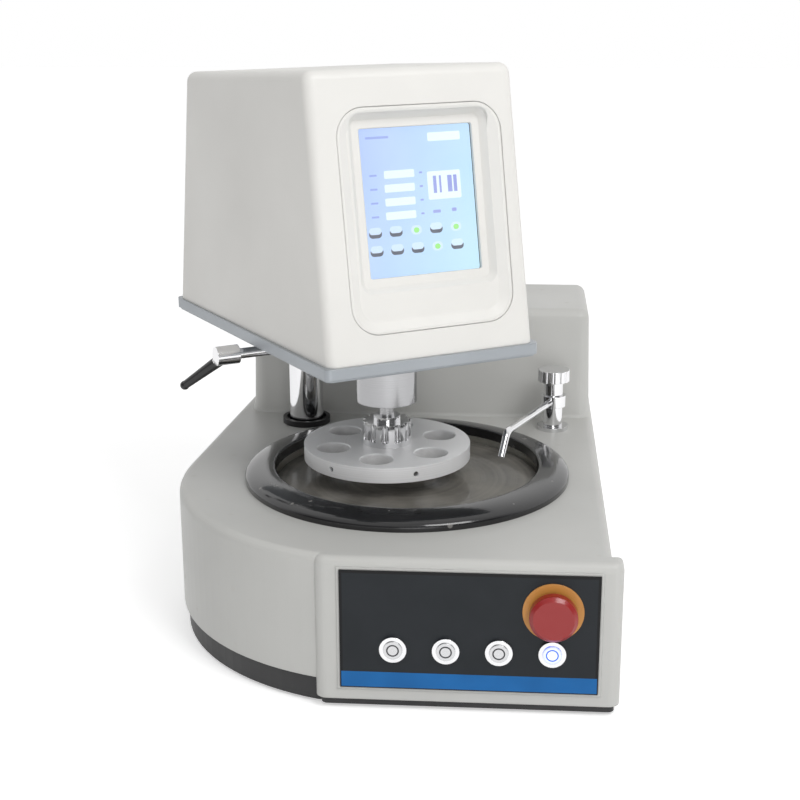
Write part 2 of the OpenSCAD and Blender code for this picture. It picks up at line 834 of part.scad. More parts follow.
module motor() color("slategray") at_platen(motor_x, motor_y) difference() {
    union() {
        block(2 * motor_r, 2 * motor_r, deck_top, deck_top + motor_foot_t);
        disk(motor_r, deck_top, deck_top + motor_h);
        translate([motor_r - belt_t, -terminal_w / 2, deck_top + motor_h - terminal_h - motor_foot_t])
            cube([terminal_d, terminal_w, terminal_h]);
    }
    disk(motor_shaft_r + run_gap, deck_top - over, deck_top + motor_bore);
}
module motor_pulley() color("dimgray") at_platen(motor_x, motor_y) {
    translate([0, 0, pulley_z]) belt_pulley(motor_pulley_r, pulley_h, motor_shaft_r - over);
    disk(motor_shaft_r, pulley_z, deck_top + motor_bore - over);
}
module control_box() color("steelblue") at_platen() difference() {
    translate([box_left, box_y, pan_floor]) cube([box_w, box_d, box_h]);
    for (x = [fin_pitch:fin_pitch:box_w - fin_pitch])
        translate([box_left + x - fin_t, box_y - over, pan_floor + fin_d]) cube([fin_t, fin_d + over, box_h]);
}
module power_inlet() color("black") at_platen(socket_x, 0, socket_z) difference() {
    union() {
        translate([-socket_w / 2, casing_back + back_t, -socket_h / 2]) cube([socket_w, back_t, socket_h]);
        translate([back_t + pass_gap - socket_w / 2, casing_back - socket_d, back_t + pass_gap - socket_h / 2])
            cube([socket_w - 2 * back_t - 2 * pass_gap, socket_d + back_t, socket_h - 2 * back_t - 2 * pass_gap]);
    }
    translate([fin_d - socket_w / 2, casing_back - socket_d / 2, fin_t + back_t - socket_h / 2])
        cube([socket_w - 2 * fin_d, socket_d, socket_h - 2 * fin_t - 2 * back_t]);
}

// Tap
module water_pipe() color("peru") at_platen(tap_x, 0, 0) {
    translate([0, tap_y, 0]) disk(pipe_r, pipe_z, casing_top - casing_wall - stem_r);
    translate([0, tap_y, pipe_z]) sphere(r = pipe_r);
    translate([0, tap_y, pipe_z]) rotate([-90, 0, 0])
        cylinder(r = pipe_r, h = casing_back + back_t + over / 2 - tap_y);
    translate([0, casing_back + back_t, pipe_z]) rotate([-90, 0, 0])
        spigot(inlet_r, inlet_step, 0, inlet_len);
}
module tap_body() color("silver") at_platen(tap_x, tap_y) {
    disk(tap_flange_r, casing_top, casing_top + tap_flange_t);
    disk(stem_r, casing_top - casing_wall - stem_r, casing_top);
    disk(tap_r, casing_top, casing_top + tap_h);
    disk(tap_stub_r, casing_top + tap_h, casing_top + tap_h + tap_stub_h);
}
module tap_knob() color("silver") at_platen(tap_x, tap_y, casing_top + tap_h + thrust_gap) difference() {
    disk(knob_d / 2, 0, knob_t);
    disk(tap_stub_r + run_gap, -over, tap_stub_h + over);
    for (i = [0:knob_flutes - 1]) rotate([0, 0, 360 * i / knob_flutes])
        translate([knob_d / 2 + knob_flute_r / 2, 0, 0]) disk(knob_flute_r, -over, knob_t + over);
}
module tap_spout() color("silver") at_platen(tap_x, tap_y) rotate([0, 0, spout_turn]) {
    rise = atan2(spout_rise, spout_reach);
    fall = atan2(-nozzle_drop, nozzle_out);
    setback = spout_bend_r * tan((rise - fall) / 2);
    root = [tap_r + spout_collar_wall - over, 0, spout_z + spout_collar_t / 2];
    bend = [spout_reach, 0, root[2] + spout_rise];
    bend_in = bend - setback * [cos(rise), 0, sin(rise)];
    bend_out = bend + setback * [cos(fall), 0, sin(fall)];
    tube(tap_r + spout_collar_wall, tap_r + run_gap, spout_z, spout_z + spout_collar_t);
    bar(root, bend_in, spout_d / 2, spout_d / 2);
    translate(bend_in + spout_bend_r * [sin(rise), 0, -cos(rise)])
        rotate([90, 0, 0]) rotate([0, 0, 90 + fall])
            rotate_extrude(angle = rise - fall) translate([spout_bend_r, 0]) circle(r = spout_d / 2 + elbow_swell);
    bar(bend_out, bend + [nozzle_out, 0, -nozzle_drop], spout_d / 2, spout_d / 2);
}

// Column
module column_socket() color("slategray") at_platen() translate(column_at) difference() {
    union() {
        disk(socket_flange_r, pan_floor, pan_floor + socket_flange_t);
        disk(socket_tube_r, pan_floor, casing_top - casing_wall);
    }
    disk(column_r + run_gap, pan_floor - over, casing_top);
}
module column() color("silver") at_platen() translate(column_at) {
    disk(column_r, pan_floor, head_z - thrust_gap);
    disk(pivot_r, head_z - thrust_gap, hub_top + thrust_gap);
    disk(thrust_r, head_z - thrust_gap - thrust_t, head_z - thrust_gap);
    disk(cap_r, hub_top + thrust_gap, hub_top + thrust_gap + cap_t);
}
module column_collar() color("black") at_platen() translate(column_at) {
    tube(collar_d / 2, column_r + run_gap, casing_top, casing_top + collar_floor);
    tube(collar_d / 2, collar_d / 2 - collar_wall, casing_top, casing_top + collar_h);
}

// Head
module head_outline(inset) {
    round_corners(plate_r) offset(delta = -inset) polygon([
        [-head_half_front, -head_front], [head_half_front, -head_front],
        [head_half_back, head_back], [-head_half_back, head_back]
    ]);
}
module head_plate() color("slategray") at_head() difference() {
    union() {
        translate([0, 0, head_z]) linear_extrude(plate_t) head_outline(plate_chamfer);
        translate([0, 0, head_z + plate_chamfer]) linear_extrude(plate_t - plate_chamfer) head_outline(0);
    }
    disk(pivot_r + bush_wall + run_gap, head_z - over, plate_top + over);
    translate([spindle_side, -arm_len, 0]) disk(sleeve_r + run_gap, head_z - over, plate_top + over);
}
// The cover's shell, drawn through its eight corners, each set in from the outside
module cover_shell(inset) {
    r = cover_r - inset;
    low = plate_top - (inset > 0 ? over : 0);
    rise = (cover_front_h - cover_r + cover_r * sin(front_lean)) / cos(front_lean);
    front_top = cover_in - head_front + rise * sin(front_lean) + cover_r * cos(front_lean);
    back_top = head_back - cover_in - cover_back_lean - cover_r;
    hull() for (side = [-1, 1]) {
        translate([side * (head_half_front - cover_in - cover_r), cover_in + cover_r - head_front, low])
            cylinder(r = r, h = sliver, $fn = cover_fn);
        translate([side * (head_half_back - cover_in - cover_r), head_back - cover_in - cover_r, low])
            cylinder(r = r, h = sliver, $fn = cover_fn);
        translate([side * (head_half_front - cover_in - cover_side_lean - cover_r), front_top,
            plate_top + cover_front_h - cover_r]) sphere(r = r, $fn = cover_fn);
        translate([side * (head_half_back - cover_in - cover_back_side_lean - cover_r), back_top,
            plate_top + cover_back_h - cover_r]) sphere(r = r, $fn = cover_fn);
    }
}
module head_cover() color("ivory") difference() {
    at_head() difference() {
        cover_shell(0);
        cover_shell(cover_wall);
    }
    at_face() translate([frame_side, frame_up, 0])
        round_plate(frame_w, frame_h, frame_r, -inner_deep - cover_wall, inner_deep);
}
module recess(w, h, r, slope, low, high) {
    hull() {
        round_plate(w, h, r, high, over);
        round_plate(w - 2 * slope, h - 2 * slope, r - slope, low, low + sliver);
    }
}
module screen_bezel() color("ivory") at_face() difference() {
    union() {
        translate([frame_side, frame_up, 0])
            round_plate(frame_w - 2 * pass_gap, frame_h - 2 * pass_gap, frame_r - pass_gap,
                -frame_deep - tray_t, -pass_gap);
        translate([screen_side, screen_up, 0])
            round_plate(inner_w + 2 * tray_t, inner_h + 2 * tray_t, inner_r + tray_t, -inner_deep - tray_t, -frame_deep);
    }
    translate([frame_side, frame_up, 0])
        recess(frame_w - 2 * frame_rim, frame_h - 2 * frame_rim, frame_r - frame_rim, frame_slope, -frame_deep, -pass_gap);
    translate([screen_side, screen_up, 0]) {
        recess(inner_w, inner_h, inner_r, inner_slope, -inner_deep, -frame_deep);
        round_plate(screen_w, screen_h, screen_r, -inner_deep - tray_t - over, over);
    }
}
module screen_glass() color("skyblue") at_face() translate([screen_side, screen_up, 0])
    round_plate(screen_w + 2 * glass_lap, screen_h + 2 * glass_lap, screen_r,
        -inner_deep - tray_t - glass_t, -inner_deep - tray_t);
module screen_module() color("dimgray") at_face() translate([screen_side, screen_up, 0])
    round_plate(screen_w + 2 * module_lap, screen_h + 2 * module_lap, screen_r,
        -inner_deep - tray_t - glass_t - module_t, -inner_deep - tray_t - glass_t);
module swing_hub() color("gray") at_head() difference() {
    union() {
        translate([-hub_foot_w / 2, -hub_foot_front, plate_top]) cube([hub_foot_w, hub_foot_front + hub_r, hub_foot_t]);
        disk(hub_r, plate_top, hub_top);
    }
    disk(pivot_r + bush_wall + run_gap, plate_top - over, hub_top + over);
}
module swing_bushes() color("goldenrod") at_head() {
    tube(pivot_r + bush_wall, pivot_r + run_gap, head_z, head_z + bush_len);
    tube(pivot_r + bush_wall, pivot_r + run_gap, hub_top - bush_len, hub_top);
}

// Specimen spindle
module quill_sleeve() color("silver") at_spindle() difference() {
    union() {
        disk(sleeve_r, sleeve_bottom, plate_top);
        disk(sleeve_flange_r, plate_top, plate_top + sleeve_flange_t);
    }
    disk(quill_r + run_gap, sleeve_bottom - over, plate_top + sleeve_flange_t + over);
}
module quill_clamp() color("gray") at_spindle() difference() {
    union() {
        disk(sleeve_r + clamp_wall, clamp_low, clamp_low + clamp_t);
        translate([-ear_w / 2, 0, clamp_low]) cube([ear_w, ear_out, clamp_t]);
    }
    disk(sleeve_r + run_gap, clamp_low - over, clamp_low + clamp_t + over);
    translate([-ear_gap / 2, 0, clamp_low - over]) cube([ear_gap, ear_out + over, clamp_t + 2 * over]);
    translate([-ear_w, bolt_out, bolt_z]) rotate([0, 90, 0]) cylinder(r = bolt_r + run_gap, h = 2 * ear_w);
}
module clamp_lever() color("black") at_head() {
    hub_mid = [lever_in - lever_hub_len / 2, lever_y, bolt_z];
    tip = hub_mid + [-arm_out, arm_back, -arm_down];
    translate([spindle_side + ear_w / 2 + over, lever_y, bolt_z]) rotate([0, -90, 0])
        cylinder(r = bolt_r, h = spindle_side + ear_w / 2 + 2 * over - lever_in);
    translate([lever_in, lever_y, bolt_z]) rotate([0, -90, 0]) cylinder(r = lever_hub_r, h = lever_hub_len);
    bar(hub_mid, tip, arm_root_r, arm_tip_r - arm_tip_step);
    translate(tip) sphere(r = arm_tip_r);
}
module pulley_bridge() color("slategray") at_head() {
    difference() {
        translate([bridge_left, bridge_front, bridge_z])
            cube([bridge_right - bridge_left, bridge_back - bridge_front, bridge_t]);
        translate([spindle_side, -arm_len, 0])
            disk(head_pulley_hub_r + run_gap, bridge_z - over, bridge_z + bridge_t + over);
        translate([spindle_side, head_motor_gap - arm_len, 0])
            disk(head_motor_shaft_r + 2 * over, bridge_z - over, bridge_z + bridge_t + over);
        translate([load_x, -arm_len, 0]) disk(load_rod_r + over, bridge_z - over, bridge_z + bridge_t + over);
    }
    for (x = [bridge_left + bridge_leg_in, bridge_right - bridge_leg_in],
         y = [bridge_front + bridge_leg_in, bridge_back - bridge_leg_in])
        translate([x, y, 0]) disk(bridge_leg_r, plate_top, bridge_z);
}
module head_pulley() color("dimgray") at_spindle() {
    translate([0, 0, head_pulley_z]) belt_pulley(head_pulley_r, head_pulley_h, spindle_r + run_gap);
    tube(head_pulley_hub_r, spindle_r + run_gap, head_pulley_z + head_pulley_h, bridge_z + bridge_t);
}
module head_belt() color("black") at_spindle()
    belt(head_pulley_r, head_motor_pulley_r, [0, head_motor_gap],
        head_pulley_z + pulley_lip_t + pulley_groove,
        head_pulley_z + head_pulley_h - pulley_lip_t - pulley_groove);
module head_motor() color("slategray") at_spindle() translate([0, head_motor_gap, bridge_z + bridge_t]) difference() {
    union() {
        disk(head_gear_r, 0, head_gear_h);
        disk(head_motor_r, head_gear_h, head_gear_h + head_motor_h);
    }
    disk(head_motor_shaft_r + run_gap, -over, head_motor_bore);
}
module head_motor_pulley() color("dimgray") at_spindle() translate([0, head_motor_gap, 0]) {
    translate([0, 0, head_pulley_z])
        belt_pulley(head_motor_pulley_r, head_pulley_h, head_motor_shaft_r - over);
    disk(head_motor_shaft_r, head_pulley_z, bridge_z + bridge_t + head_motor_bore - over);
}
module load_cylinder() color("silver") at_head() translate([load_x, -arm_len, bridge_z + bridge_t])
    difference() {
        disk(load_r, 0, load_h);
        disk(load_rod_r + run_gap, -over, load_h - feed_up);
    }
module load_yoke() color("gray") at_spindle() translate([0, 0, plate_top]) {
    difference() {
        union() {
            disk(yoke_r, yoke_low, yoke_low + yoke_t);
            translate([load_x - spindle_side - yoke_w / 2, -yoke_w / 2, yoke_low])
                cube([spindle_side - load_x + yoke_w / 2, yoke_w, yoke_t]);
        }
        disk(quill_r + run_gap, yoke_low - over, yoke_low + yoke_t + over);
    }
    translate([load_x - spindle_side, 0, 0])
        disk(load_rod_r, yoke_low, bridge_z + bridge_t + load_rod_in - plate_top);
}
module quill() color("silver") at_spindle()
    tube(quill_r, quill_bearing_r + run_gap, quill_low, quill_top);
module quill_bearings() color("darkgray") at_spindle() {
    tube(quill_bearing_r, spindle_r + run_gap, quill_low, quill_low + quill_bearing_w);
    tube(quill_bearing_r, spindle_r + run_gap, quill_top - quill_bearing_w, quill_top);
}
module spindle_shaft() color("lightsteelblue") at_spindle()
    disk(spindle_r, holder_z + over, bridge_z + bridge_t + feed_down + over);
module holder_hub() color("silver") at_spindle() difference() {
    union() {
        disk(hub_d / 2, holder_top, holder_top + hub_h - hub_neck_h);
        disk(spindle_r + 2 * hub_flute_r, holder_top, holder_top + hub_h);
        disk(spigot_r, holder_z + over, holder_top);
    }
    disk(spindle_r + run_gap, holder_z - over, holder_top + hub_h + over);
    for (i = [0:hub_flutes - 1]) rotate([0, 0, 360 * i / hub_flutes])
        translate([hub_d / 2, 0, 0]) disk(hub_flute_r, holder_top + hub_neck_h, holder_top + hub_h + over);
}
module specimen_holder() color("lightgray") at_platen(spindle_at[0], spindle_at[1]) difference() {
    disk(holder_r, holder_z, holder_top);
    disk(spigot_r + run_gap, holder_z - over, holder_top + over);
    for (i = [0:specimens - 1]) rotate([0, 0, specimen_turn + 360 * i / specimens]) {
        translate([specimen_ring, 0, 0]) {
            disk(specimen_d / 2, holder_z - over, holder_top + over);
            translate([0, 0, holder_top - specimen_chamfer])
                cylinder(r1 = specimen_d / 2, r2 = specimen_d / 2 + specimen_chamfer + over,
                    h = specimen_chamfer + over);
        }
        rotate([0, 0, 180 / specimens]) translate([0, 0, (holder_z + holder_top) / 2]) rotate([0, 90, 0])
            translate([0, 0, holder_r - set_screw_in - set_screw_len])
                cylinder(r = set_screw_r + run_gap, h = set_screw_len + set_screw_in + over);
    }
}
module set_screws() color("dimgray") at_platen(spindle_at[0], spindle_at[1])
    for (i = [0:specimens - 1]) rotate([0, 0, specimen_turn + (i + 0.5) * 360 / specimens])
        translate([0, 0, (holder_z + holder_top) / 2]) rotate([0, 90, 0])
            translate([0, 0, holder_r - set_screw_in - set_screw_len])
                cylinder(r = set_screw_r, h = set_screw_len);

feet();
base_pan();
casing();
back_plate();
back_screws();
control_panel();
estop_label();
estop_block();
estop_stem();
estop_head();
button_bezels();
button_cap(0);  // button_1
button_cap(1);  // button_2
button_cap(2);  // button_3
button_cap(3);  // button_4
basin();
splash_ring();
drain_pipe();
drive_deck();
bearing_housing();
platen_bearings();
platen();
polishing_disc();
platen_shaft();
platen_pulley();
drive_belt();
motor();
motor_pulley();
control_box();
power_inlet();
water_pipe();
tap_body();
tap_knob();
tap_spout();
column_socket();
column();
column_collar();
head_plate();
head_cover();
screen_bezel();
screen_glass();
screen_module();
swing_hub();
swing_bushes();
quill_sleeve();
quill_clamp();
clamp_lever();
pulley_bridge();
head_motor();
head_belt();
head_pulley();
head_motor_pulley();
load_cylinder();
load_yoke();
quill();
quill_bearings();
spindle_shaft();
holder_hub();
specimen_holder();
set_screws();
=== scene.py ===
# %% [markdown]
# # A metallographic polishing machine
# The machine stands on a bench and polishes small metal specimens. A disc turns in a wet bowl, and
# a head on a column presses a holder with six specimens onto it. The solids come from the packed
# frame. This lesson gives every solid its finish, and adds what a solid can't show, such as the
# picture on the screen, the stripe on the panel and the screws.

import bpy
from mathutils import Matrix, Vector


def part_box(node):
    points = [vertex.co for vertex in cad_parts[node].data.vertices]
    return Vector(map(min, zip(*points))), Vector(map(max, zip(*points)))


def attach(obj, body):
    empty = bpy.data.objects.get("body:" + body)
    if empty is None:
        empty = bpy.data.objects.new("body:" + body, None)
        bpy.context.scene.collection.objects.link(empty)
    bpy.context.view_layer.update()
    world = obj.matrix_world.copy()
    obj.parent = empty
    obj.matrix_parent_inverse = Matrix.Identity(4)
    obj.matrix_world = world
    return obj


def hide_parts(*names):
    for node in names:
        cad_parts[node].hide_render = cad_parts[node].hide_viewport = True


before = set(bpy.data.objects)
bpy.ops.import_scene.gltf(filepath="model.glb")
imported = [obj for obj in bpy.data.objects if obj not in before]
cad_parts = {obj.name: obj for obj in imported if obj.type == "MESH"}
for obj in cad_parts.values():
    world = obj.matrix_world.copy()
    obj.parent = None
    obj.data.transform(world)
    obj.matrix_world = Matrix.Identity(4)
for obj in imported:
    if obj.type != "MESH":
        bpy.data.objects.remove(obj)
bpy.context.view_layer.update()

# %% Tools and units
from math import cos, pi, radians, sin

import bmesh
import bpy
from mathutils import Matrix, Vector

MM = 0.001
scene = bpy.context.scene
scene.view_settings.view_transform = "Standard"
print("one millimetre is", MM, "of Blender's units")

# %% [markdown]
# ## The camera
# The photograph was taken from the front, a little to the right and above the bowl. The camera's
# place was worked out from the machine's own corners and circles, so it is written as a real place
# in millimetres and three angles: the turn to the left, the tilt down and a small roll.

# %% Camera
CAMERA_PLACE = Vector((126.4, -1418.3, 621.2)) * MM
CAMERA_TURN = -4.58
CAMERA_TILT = 16.71
CAMERA_ROLL = -0.25
LENS = 67.5
SENSOR = 36.0


def camera_rotation(turn, tilt, roll):
    """A rotation that looks along +Y, turned, tilted down and rolled by these degrees."""
    t, p, r = radians(turn), radians(tilt), radians(roll)
    ahead = Vector((sin(t) * cos(p), cos(t) * cos(p), -sin(p)))
    right = Vector((cos(t), -sin(t), 0))
    above = right.cross(ahead)
    rolled_right = right * cos(r) + above * sin(r)
    rolled_above = above * cos(r) - right * sin(r)
    return Matrix((rolled_right, rolled_above, -ahead)).transposed()


camera = bpy.data.objects.new("camera", bpy.data.cameras.new("camera"))
camera.data.lens = LENS
camera.data.sensor_width = SENSOR
camera.data.clip_end = 50
camera.rotation_mode = "QUATERNION"
camera.rotation_quaternion = camera_rotation(CAMERA_TURN, CAMERA_TILT, CAMERA_ROLL).to_quaternion()
camera.location = CAMERA_PLACE
scene.collection.objects.link(camera)
scene.camera = camera
print("camera at", [round(v, 3) for v in camera.location])

# %% [markdown]
# ## Helpers for materials
# A material is a small graph of nodes. These helpers make a node, set its sockets by name and link
# it, so that each finish below reads as a short list of steps.


# %% Node helpers
def add(tree, kind, settings=None, **sockets):
    """A new node. Settings are its own properties; sockets are set to values or linked to outputs."""
    made = tree.nodes.new(kind)
    for name, value in (settings or {}).items():
        setattr(made, name, value)
    for name, value in sockets.items():
        plug(tree, made, name, value)
    return made


def plug(tree, target, name, value):
    """Sets a socket to a value, or links an output to it. An underscore stands for a space."""
    key = int(name[3:]) if name.startswith("in_") else name.replace("_", " ")
    socket = target.inputs[key]
    if isinstance(value, bpy.types.NodeSocket):
        tree.links.new(value, socket)
    elif hasattr(value, "__len__") and len(value) == 3 and socket.type == "RGBA":
        socket.default_value = (*value, 1)
    else:
        socket.default_value = value


def maths(tree, operation, first, second=0.0, clamp=False):
    """The output of a Math node."""
    settings = {"operation": operation, "use_clamp": clamp}
    return add(tree, "ShaderNodeMath", settings, in_0=first, in_1=second).outputs[0]


def mix_colour(tree, factor, first, second):
    """A colour between two others."""
    made = add(tree, "ShaderNodeMix", {"data_type": "RGBA"})
    plug(tree, made, "in_0", factor)
    plug(tree, made, "in_6", first)
    plug(tree, made, "in_7", second)
    return made.outputs[2]


def spread(tree, value, low, high, new_low=0.0, new_high=1.0):
    """A value carried from one range to another, held at the ends."""
    made = add(tree, "ShaderNodeMapRange", None, Value=value)
    for place, number in enumerate((low, high, new_low, new_high), 1):
        made.inputs[place].default_value = number
    return made.outputs[0]


def new_group(name, inputs, outputs):
    """An empty shader group with named inputs (name: kind and value) and outputs (name: kind)."""
    group = bpy.data.node_groups.new(name, "ShaderNodeTree")
    for label, (kind, value) in inputs.items():
        socket = group.interface.new_socket(label, in_out="INPUT", socket_type=kind)
        socket.default_value = value
    for label, kind in outputs.items():
        group.interface.new_socket(label, in_out="OUTPUT", socket_type=kind)
    return group, group.nodes.new("NodeGroupInput"), group.nodes.new("NodeGroupOutput")


FLOAT = "NodeSocketFloat"
VECTOR = "NodeSocketVector"
print("helpers ready")

# %% [markdown]
# ## Effects that many finishes share
# Real surfaces differ from place to place: a moulding has a fine orange-peel skin, edges are rubbed
# brighter, dust settles on faces that look up, and turned metal has rings from the lathe. Each of
# these is a node group, built once, with named inputs for how strong and how large it is.

# %% Fine skin: a height for bumps, and slow blotches for colour
skin_group, skin_in, skin_out = new_group(
    "Fine skin",
    {"Grain Size mm": (FLOAT, 0.8), "Blotch Size mm": (FLOAT, 60.0)},
    {"Height": FLOAT, "Blotches": FLOAT},
)


def skin_noise(size, detail):
    """Noise in the object's own space, whose grain has this size in millimetres."""
    place = add(skin_group, "ShaderNodeTexCoord").outputs["Object"]
    scale = maths(skin_group, "DIVIDE", 1 / MM, size)
    settings = {"noise_dimensions": "3D"}
    return add(skin_group, "ShaderNodeTexNoise", settings, Vector=place, Scale=scale, Detail=detail)


grain = skin_noise(skin_in.outputs["Grain Size mm"], 2.0)
blotch = skin_noise(skin_in.outputs["Blotch Size mm"], 3.0)
plug(skin_group, skin_out, "Height", grain.outputs[0])
plug(skin_group, skin_out, "Blotches", spread(skin_group, blotch.outputs[0], 0.3, 0.7))
print(skin_group.name, "has", len(skin_group.nodes), "nodes")

# %% Edge wear: a mask that is 1 where a rounded copy of the surface leans away from the true one
edge_group, edge_in, edge_out = new_group(
    "Edge wear and painted highlight",
    {"Width mm": (FLOAT, 1.0), "Amount": (FLOAT, 1.0), "Breakup Size mm": (FLOAT, 6.0)},
    {"Mask": FLOAT, "Normal": VECTOR},
)
edge_width = maths(edge_group, "MULTIPLY", edge_in.outputs["Width mm"], MM)
rounded = add(edge_group, "ShaderNodeBevel", {"samples": 4}, Radius=edge_width)
true_normal = add(edge_group, "ShaderNodeNewGeometry").outputs["Normal"]
lean = add(edge_group, "ShaderNodeVectorMath", {"operation": "DOT_PRODUCT"}, in_0=rounded.outputs[0])
plug(edge_group, lean, "in_1", true_normal)
sharp = spread(edge_group, lean.outputs["Value"], 0.97, 0.8)
edge_scale = maths(edge_group, "DIVIDE", 1 / MM, edge_in.outputs["Breakup Size mm"])
edge_place = add(edge_group, "ShaderNodeTexCoord").outputs["Object"]
edge_noise = add(edge_group, "ShaderNodeTexNoise", None, Vector=edge_place, Scale=edge_scale, Detail=4.0)
broken = maths(edge_group, "MULTIPLY", sharp, spread(edge_group, edge_noise.outputs[0], 0.4, 0.6))
worn = maths(edge_group, "MULTIPLY", broken, edge_in.outputs["Amount"], clamp=True)
plug(edge_group, edge_out, "Mask", worn)
plug(edge_group, edge_out, "Normal", rounded.outputs[0])
print(edge_group.name, "has", len(edge_group.nodes), "nodes")

# %% Dust: a mask for what settles on faces that look up
dust_group, dust_in, dust_out = new_group(
    "Dust",
    {"Amount": (FLOAT, 0.3), "Patch Size mm": (FLOAT, 40.0)},
    {"Mask": FLOAT},
)
facing = add(dust_group, "ShaderNodeSeparateXYZ", None,
             Vector=add(dust_group, "ShaderNodeNewGeometry").outputs["Normal"]).outputs["Z"]
dust_scale = maths(dust_group, "DIVIDE", 1 / MM, dust_in.outputs["Patch Size mm"])
dust_place = add(dust_group, "ShaderNodeTexCoord").outputs["Object"]
dust_noise = add(dust_group, "ShaderNodeTexNoise", None, Vector=dust_place, Scale=dust_scale, Detail=6.0)
lying = maths(dust_group, "MULTIPLY", spread(dust_group, facing, 0.2, 1.0),
              spread(dust_group, dust_noise.outputs[0], 0.35, 0.75))
plug(dust_group, dust_out, "Mask", maths(dust_group, "MULTIPLY", lying, dust_in.outputs["Amount"]))
print(dust_group.name, "has", len(dust_group.nodes), "nodes")

# %% Lathe rings: lines that depend on the distance from a turned part's axis, and along it
ring_group, ring_in, ring_out = new_group(
    "Lathe rings",
    {"Centre": (VECTOR, (0, 0, 0)), "Axis": (VECTOR, (0, 0, 1)),
     "Pitch mm": (FLOAT, 0.4), "Along": (FLOAT, 0.0)},
    {"Height": FLOAT, "Streaks": FLOAT, "Distance mm": FLOAT},
)


def vector_maths(tree, operation, first, second):
    """A Vector Math node."""
    return add(tree, "ShaderNodeVectorMath", {"operation": operation}, in_0=first, in_1=second)


from_centre = vector_maths(ring_group, "SUBTRACT", add(ring_group, "ShaderNodeTexCoord").outputs["Object"],
                           ring_in.outputs["Centre"]).outputs[0]
along_axis = vector_maths(ring_group, "DOT_PRODUCT", from_centre, ring_in.outputs["Axis"]).outputs["Value"]
across = vector_maths(ring_group, "CROSS_PRODUCT", from_centre, ring_in.outputs["Axis"]).outputs[0]
distance = add(ring_group, "ShaderNodeVectorMath", {"operation": "LENGTH"}, in_0=across).outputs["Value"]
line = maths(ring_group, "ADD", distance, maths(ring_group, "MULTIPLY", along_axis, ring_in.outputs["Along"]))
ring_pitch = maths(ring_group, "MULTIPLY", ring_in.outputs["Pitch mm"], MM)
line_place = add(ring_group, "ShaderNodeCombineXYZ", None, X=maths(ring_group, "DIVIDE", line, ring_pitch))
line_noise = add(ring_group, "ShaderNodeTexNoise", None, Vector=line_place.outputs[0], Scale=1.0, Detail=3.0)
plug(ring_group, ring_out, "Height", line_noise.outputs[0])
plug(ring_group, ring_out, "Streaks", spread(ring_group, line_noise.outputs[0], 0.35, 0.65))
plug(ring_group, ring_out, "Distance mm", maths(ring_group, "MULTIPLY", distance, 1 / MM))
print(ring_group.name, "has", len(ring_group.nodes), "nodes")

# %% Dried drops: round marks of many sizes, in only some of the cells of a cell pattern
drop_group, drop_in, drop_out = new_group(
    "Dried drops",
    {"Size mm": (FLOAT, 9.0), "Share": (FLOAT, 0.4)},
    {"Mask": FLOAT},
)
drop_scale = maths(drop_group, "DIVIDE", 1 / MM, drop_in.outputs["Size mm"])
drop_place = add(drop_group, "ShaderNodeTexCoord").outputs["Object"]
drop_cells = add(drop_group, "ShaderNodeTexVoronoi", {"feature": "F1"}, Vector=drop_place, Scale=drop_scale)
drop_pick = add(drop_group, "ShaderNodeSeparateXYZ", None, Vector=drop_cells.outputs["Color"])
drop_radius = maths(drop_group, "MULTIPLY", drop_pick.outputs["Y"], 0.35)
drop_depth = maths(drop_group, "SUBTRACT", drop_radius, drop_cells.outputs["Distance"])
inside = spread(drop_group, drop_depth, 0.0, 0.08)
chosen = maths(drop_group, "LESS_THAN", drop_pick.outputs["X"], drop_in.outputs["Share"])
plug(drop_group, drop_out, "Mask", maths(drop_group, "MULTIPLY", inside, chosen))
print(drop_group.name, "has", len(drop_group.nodes), "nodes")

# %% [markdown]
# ## Finishes
# Each finish starts from the Principled shader. A helper places the groups above in the material,
# mixes worn and dusty colours over the base colour, and adds the fine bump.


# %% Shared start of a finish
def group_node(tree, group, **values):
    """A copy of a group in this material, with its own values."""
    made = tree.nodes.new("ShaderNodeGroup")
    made.node_tree = group
    for name, value in values.items():
        plug(tree, made, name, value)
    return made.outputs


def start(name):
    """A new material, its graph and its shader."""
    made = bpy.data.materials.new(name)
    made.use_nodes = True
    return made, made.node_tree, made.node_tree.nodes["Principled BSDF"]


